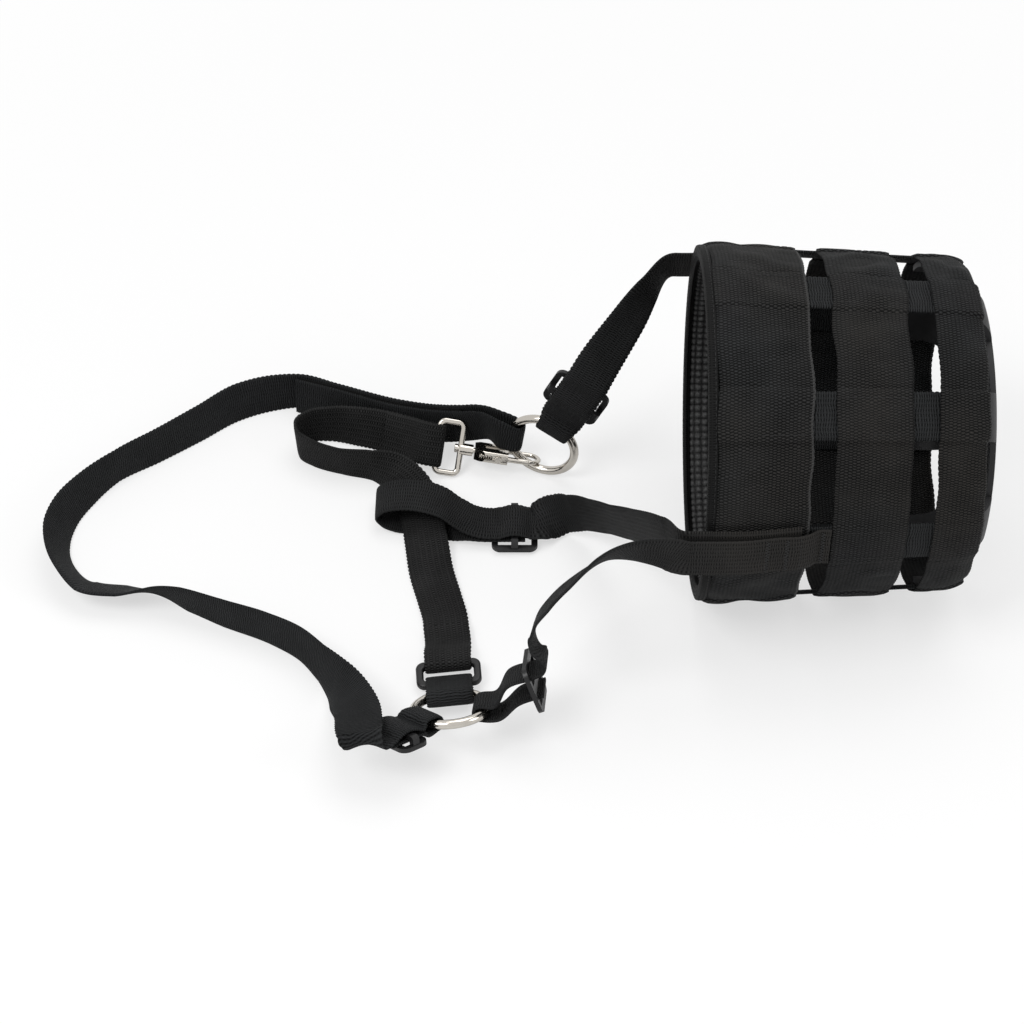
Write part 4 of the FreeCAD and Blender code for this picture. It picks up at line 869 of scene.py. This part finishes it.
def band(name, node, profile, dip, swell, seed, material=BAND_CLOTH):
    """Wide webbing round the basket. profile lists (x, radius, outward x, outward r) of the
    band's middle, edge to edge. It dips and creases between the straps and swells a little."""
    draw = random.Random(seed)
    waves = [(draw.randint(5, 26), draw.uniform(0, 6.28), draw.uniform(0.5, 3.0), draw.uniform(0, 6.28))
             for _ in range(9)]
    sways = [(draw.randint(3, 19), draw.uniform(0, 6.28)) for _ in range(6)]
    half = WEB / 2
    last = len(profile) - 1
    lengths = travelled(profile)

    def section(angle):
        lift, crease = over_straps(angle)
        loose = 1.0 - under_anchor(angle)
        notch = NOTCH * abs(math.sin(angle * MOUTH_RADIUS * math.pi / NOTCH_PITCH)) ** 0.7
        sway = SWAY * sum(math.sin(n * angle + b) for n, b in sways) * loose
        for side in (1, -1):
            for k in range(last + 1)[::side]:
                x, r, nx, nr = profile[k]
                along = lengths[k] / lengths[-1]
                share = math.sin(math.pi * along)
                wave = sum(math.sin(n * angle + b) * math.sin(m * math.pi * along + c)
                           for n, b, m, c in waves) / 3.0
                rise = swell * loose * max(-0.35, wave) * (0.35 + 0.65 * share)
                if rise < 0:
                    rise *= 1 - lift
                sink = dip * (1 - lift) * (0.55 + 0.45 * (1 - share)) + CREASE_DEPTH * crease
                sink *= 0.35 + 0.65 * loose
                shift = sway * abs(2 * along - 1) ** 3
                height = side * half
                if k in (0, last):
                    shift += notch if k else -notch
                    height *= EDGE_THICK
                height += rise - sink
                across = lengths[k] + (profile[0][0] if side > 0 else UNDERSIDE)
                yield x + nx * height + nr * shift, r + nr * height - nx * shift, across

    turned(name, node, 900 if FINE else 240, section, material)


def straight(start, stop, pieces):
    """Profile of a band that lies on the lengthwise straps between two stations."""
    stations = [start + (stop - start) * k / pieces for k in range(pieces + 1)]
    return [(x, wall(x, GAP + WEB / 2), TAPER, 1.0) for x in stations]


def bands():
    start, stop = MOUTH_BAND
    half_roll = (LIP_ROLL - start) / 2
    rows = []
    for x, r, nx, nr in straight(start, stop, 26):
        # The front of the band rolls out over the lining's edge.
        roll = max(0.0, 1 - ((x - start) / half_roll - 1) ** 2) if x < LIP_ROLL else 0.0
        rows.append((x, r + LIP_RISE * roll, nx, nr))
    band("mouth_band_cloth", "mouth_band", rows, dip=0.0013, swell=0.0013, seed=3, material=MOUTH_CLOTH)
    band("middle_band_cloth", "middle_band", straight(*MIDDLE_BAND, 20), dip=0.0015, swell=0.0014, seed=5)
    line = around_bend(LOWER_BAND_START, LAP + GAP, 33.0)
    rows = [(x, r, math.sin(a) if a else TAPER, math.cos(a)) for x, r, a in line]
    band("lower_band_cloth", "lower_band", rows, dip=0.0015, swell=0.0014, seed=8)


def lining():
    """Padded ring inside the mouth with a grid of soft pillows on its inner face."""
    start, stop = LINING
    outer = -LAP - 0.0003
    inner = outer - LINING_THICK + 0.0010
    pillow_rise, edge_drop, edge_width = 0.0012, 0.0006, 0.002
    outer_map = 0.1
    rows = 48 if FINE else 24

    def section(angle):
        ridge = abs(math.sin(angle * PILLOW_COUNT / 2)) ** 0.6
        for k in range(rows + 1):
            x = start + (stop - start) * k / rows
            pillow = abs(math.sin(math.pi * x / PILLOW)) ** 0.6 * ridge
            edge = min(1.0, (x - start) / edge_width, (stop - x) / edge_width)
            yield x, wall(x, inner + edge_drop * (1 - edge)) - pillow_rise * pillow * max(0.0, edge), x
        for x in (stop, start):
            yield x, wall(x, outer), x + outer_map

    around = 600 if FINE else 200
    made = turned("mouth_pad", "mouth_lining", around, section, LINING_CLOTH, inward=True)


def binding():
    """Tape folded round the front edge of the lining, straps and band."""
    thick = BINDING_THICK
    bottom = wall(0, -LAP - LINING_THICK - GAP)
    top = wall(0, GAP)
    front = -0.0022
    reach = front + 0.0034
    lip = MOUTH_BAND[0] - GAP
    inside = -0.0009
    bow, corner = 0.0016, 0.0012
    outline = [
        (reach, bottom - GAP),
        (reach - 0.0003, bottom - thick * 0.75),
        (reach - 0.002, bottom - thick),
        (front + bow, bottom - thick),
        (front + bow * 0.3, bottom - thick * 0.55),
        (front, bottom + corner),
    ]
    steps = 5
    for k in range(1, steps):
        bulge = 0.0002 * math.sin(math.pi * k / steps)
        outline.append((front - bulge, bottom + corner + (top - bottom - 2 * corner) * k / steps))
    outline += [
        (front, top - corner),
        (front + bow * 0.3, top + COVER * 0.55),
        (front + bow, top + COVER),
        (lip - 0.0006, top + COVER),
        (lip, top + COVER * 0.6),
        (lip, top + GAP),
        (inside, top + GAP),
        (inside, bottom - GAP),
    ]
    rib_pitch, rib_depth = 0.0036, 0.00012
    lengths = travelled(outline)

    def section(angle):
        rib = rib_depth * abs(math.sin(angle * MOUTH_RADIUS * math.pi / rib_pitch))
        for k, (x, r) in enumerate(outline):
            yield x - (rib / 2 if 1 < k < 12 else 0.0), r, lengths[k]

    turned("rim_binding_tape", "rim_binding", 720 if FINE else 240, section, BINDING_CLOTH)


# ------------ stitching
STITCH, STITCH_GAP = 0.0026, 0.0008
# Bar tacks: how far they reach from the strap's middle, half their breadth, and their threads.
TACK_REACH, TACK_HALF, TACK_COUNT = 0.0108, 0.0011, 22
# How high the threads' middles lie over the cloth.
THREAD_LIFT = 0.0001


def stitches(name, rows, body, thick):
    """Short raised threads. rows lists (start, stop, outward direction)."""
    made_points, faces, cloth = [], [], []
    profile = ((0.0, 0.35), (0.2, 0.9), (0.5, 1.0), (0.8, 0.9), (1.0, 0.35))
    sides = 6
    for start, stop, out in rows:
        run = stop - start
        side = run.cross(out).normalized()
        first = len(made_points)
        for along, size in profile:
            for j in range(sides):
                turn = 2 * math.pi * j / sides
                ring = side * math.cos(turn) + out * (math.sin(turn) * 0.8)
                made_points.append(start + run * along + ring * (thick / 2 * size))
                cloth.append((along * run.length, j * 0.0003))
        faces += tube_faces(len(profile), sides, first)
    made = build(name, made_points, faces, cloth, THREAD)
    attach(made, body)


def stitch_row(start, stop, out):
    """Stitches along a line."""
    run = stop - start
    count = max(1, int(run.length / (STITCH + STITCH_GAP)))
    step = run / count
    share = STITCH / (STITCH + STITCH_GAP)
    return [(start + step * i, start + step * (i + share), out) for i in range(count)]


def bar_tack(x, radius, out, across):
    """Thread that goes to and fro along a line right across a strap."""
    middle = from_axis(x, out, radius)
    start, stop = middle - across * TACK_REACH, middle + across * TACK_REACH
    aside = Vector((TACK_HALF, 0, 0))
    rows = []
    for i in range(TACK_COUNT):
        side = 1 if i % 2 else -1
        a = start.lerp(stop, i / TACK_COUNT) + aside * side
        b = start.lerp(stop, (i + 1) / TACK_COUNT) - aside * side
        rows.append((a, b, out))
    return rows


def near_tacks():
    out, across = about_x(NEAR_TURN)
    rows = []
    for x in (0.0215, 0.0290, 0.0390, 0.0455, 0.0575):
        layer = wall(x, GAP + GAP + WEB) if x > 0.052 else wall(x, LAP + LAP + LAP)
        ease = LIP_RISE if x < 0.03 else EASE if x < 0.042 else 0.0
        rows += bar_tack(x, layer + THREAD_LIFT + ease, out, across)
    stitches("near_bar_tacks", rows, "basket", 0.00050)


def far_tacks():
    out, across = about_x(FAR_TURN)
    rows = []
    for x, radius in ((0.012, CREST + WEB), (0.043, wall(0.043, LAP + LAP))):
        rows += bar_tack(x, radius + THREAD_LIFT, out, across)
    stitches("far_bar_tacks", rows, "basket", 0.00050)


def band_rows():
    """Rows that hold the bands on each lengthwise strap, but for those under the near strap."""
    mouth_span, waist_span = (0.024, 0.047), (0.0655, 0.0975)
    row_turn = 5.8
    rows = []
    for k in range(STRAP_COUNT):
        spans = ((0.068, 0.096),) if k == 2 else (mouth_span, waist_span)
        for turn in (-row_turn, row_turn):
            out = about_x(360.0 * k / STRAP_COUNT + turn)[0]
            for span in spans:
                a, b = (from_axis(x, out, wall(x, LAP) + THREAD_LIFT) for x in span)
                rows += stitch_row(a, b, out)
    stitches("band_stitching", rows, "basket", 0.00040)


def binding_row():
    """Stitches that hold the binding."""
    count = 190
    x = 0.0012
    radius = wall(0, GAP) + COVER + 0.00005
    rows = []
    for i in range(count):
        a, b = (radial(2 * math.pi * (i + share) / count) for share in (0.0, 0.72))
        rows.append((from_axis(x, a, radius), from_axis(x, b, radius), a))
    stitches("binding_stitching", rows, "basket", 0.00036)


# ------------ the snap's spring
def spring():
    """Coil between the snap's body and its bolt."""
    hook_face = square_to(SNAP_RUN, HOOK_WIRE) * -1
    hook_side = hook_face.cross(SNAP_RUN)
    side, first, last = 0.0059, 0.0185, 0.0252
    coil, wire, turns = 0.00115, 0.00030, 5
    steps, ring = 24, 8
    count = turns * steps + 1
    made_points, cloth = [], []
    for k in range(count):
        angle = 2 * math.pi * k / steps
        out = hook_side * math.cos(angle) + hook_face * math.sin(angle)
        reach = first + (last - first) * k / (count - 1)
        middle = EYE_CENTRE + SNAP_RUN * reach - hook_side * side + out * coil
        for j in range(ring):
            turn = 2 * math.pi * j / ring
            made_points.append(middle + out * (wire * math.cos(turn)) + SNAP_RUN * (wire * math.sin(turn)))
            cloth.append((angle * coil, j * wire))
    faces = closed_tube(count, ring)
    made = dress(build("bolt_spring", made_points, faces, cloth, NICKEL), "snap_spring")
    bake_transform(made)


# ------------ CAD pieces and their finishes
SLIDES = ("near_cheek_slide", "far_cheek_slide", "chin_slide", "crown_slide")
WIRE_PARTS = ("near_ring", "far_ring", "snap_eye", "snap_bolt")


def finish_cad():
    finishes = {"rubber_base": RUBBER, "throat_loop": PLASTIC, "snap_body": NICKEL}
    finishes.update(dict.fromkeys(SLIDES, PLASTIC))
    finishes.update(dict.fromkeys(WIRE_PARTS, NICKEL))
    for node, material in finishes.items():
        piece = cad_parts[node]
        piece.data.materials.clear()
        piece.data.materials.append(material)
        if node in SLIDES + ("rubber_base", "snap_body"):
            soften = piece.modifiers.new("soft_edges", "BEVEL")
            soften.width = 0.0005
            soften.segments = 3
            soften.limit_method = "ANGLE"
            soften.angle_limit = math.radians(35)


# ------------ stage, light and camera
def paper_floor():
    """White paper. The camera sees it partly as its own white, so the shadows on it are soft,
    and away from the object it is white alone."""
    reach = 12.0
    mesh = bpy.data.meshes.new("floor")
    corners = [(reach * x, reach * y, GROUND) for x, y in ((-1, -1), (1, -1), (1, 1), (-1, 1))]
    mesh.from_pydata(corners, [], [(0, 1, 2, 3)])
    paper = Shader("white_floor")
    paper.set(Base_Color=(0.90, 0.90, 0.90, 1.0), Roughness=0.9, Specular_IOR_Level=0.1)
    glow = paper.node("ShaderNodeEmission")
    seen = paper.node("ShaderNodeLightPath").outputs["Is Camera Ray"]
    away = paper.node("ShaderNodeVectorMath", operation="LENGTH")
    paper.put(away.inputs[0], paper.object_place())
    own_white = paper.ranged(away.outputs["Value"], 0.25, 0.95, low=0.6)
    blend = paper.node("ShaderNodeMixShader")
    paper.put(blend.inputs[0], paper.maths("MULTIPLY", seen, own_white))
    paper.put(blend.inputs[1], paper.surface.outputs[0])
    paper.put(blend.inputs[2], glow.outputs[0])
    paper.put(paper.tree.nodes["Material Output"].inputs["Surface"], blend.outputs[0])
    mesh.materials.append(paper.material)
    floor = bpy.data.objects.new("floor", mesh)
    bpy.context.scene.collection.objects.link(floor)


def white_world():
    """White all round, at full strength where it is seen or mirrored and dimmer as a light."""
    world = bpy.data.worlds.new("studio")
    bpy.context.scene.world = world
    studio = Wiring(world)
    back = studio.tree.nodes["Background"]
    studio.put(back.inputs["Color"], (1.0, 1.0, 1.0, 1.0))
    path = studio.node("ShaderNodeLightPath").outputs
    mirrored = studio.maths("MAXIMUM", path["Is Glossy Ray"], path["Is Transmission Ray"])
    seen = studio.maths("MAXIMUM", path["Is Camera Ray"], mirrored)
    power = studio.ranged(seen, 0.0, 1.0, low=0.42, interpolation_type="LINEAR")
    studio.put(back.inputs["Strength"], power)


def softboxes():
    # name, place, aim, size across, size up, power
    lamps = (("key_softbox", (-0.9, -0.7, 1.5), (0.0, 0.0, -0.05), 0.9, 0.7, 17.0),
             ("top_softbox", (0.2, 0.5, 1.8), (0.0, 0.0, -0.05), 1.4, 1.2, 13.0),
             ("side_softbox", (1.4, -0.5, 0.8), (0.05, 0.0, 0.0), 0.6, 0.9, 6.0))
    for name, place, aim, across, up, watts in lamps:
        light = bpy.data.lights.new(name, "AREA")
        light.shape = "RECTANGLE"
        light.size, light.size_y = across, up
        light.energy = watts
        lamp = bpy.data.objects.new(name, light)
        lamp.location = place
        lamp.rotation_euler = (Vector(aim) - Vector(place)).to_track_quat("-Z", "Y").to_euler()
        bpy.context.scene.collection.objects.link(lamp)


def camera():
    """The photograph's view: from in front and above at 45 degrees."""
    lens = bpy.data.cameras.new("camera")
    lens.sensor_width = 36.0
    focal_px, picture_px = 2420.0, 1024.0
    lens.lens = lens.sensor_width * focal_px / picture_px
    eye = bpy.data.objects.new("camera", lens)
    eye.location = (-0.1005, -0.95304, 0.88544)
    eye.rotation_euler = (math.radians(45.0), 0.0, 0.0)
    bpy.context.scene.collection.objects.link(eye)
    bpy.context.scene.camera = eye


basket_straps()
bands()
lining()
binding()
near_tacks()
far_tacks()
band_rows()
binding_row()
far_cheek_strap()
near_cheek_strap()
chin_strap()
crown_strap()
throat_strap()
ring_tab()
spring()
finish_cad()
paper_floor()
white_world()
softboxes()
camera()
view = bpy.context.scene.view_settings
view.view_transform = "Standard"
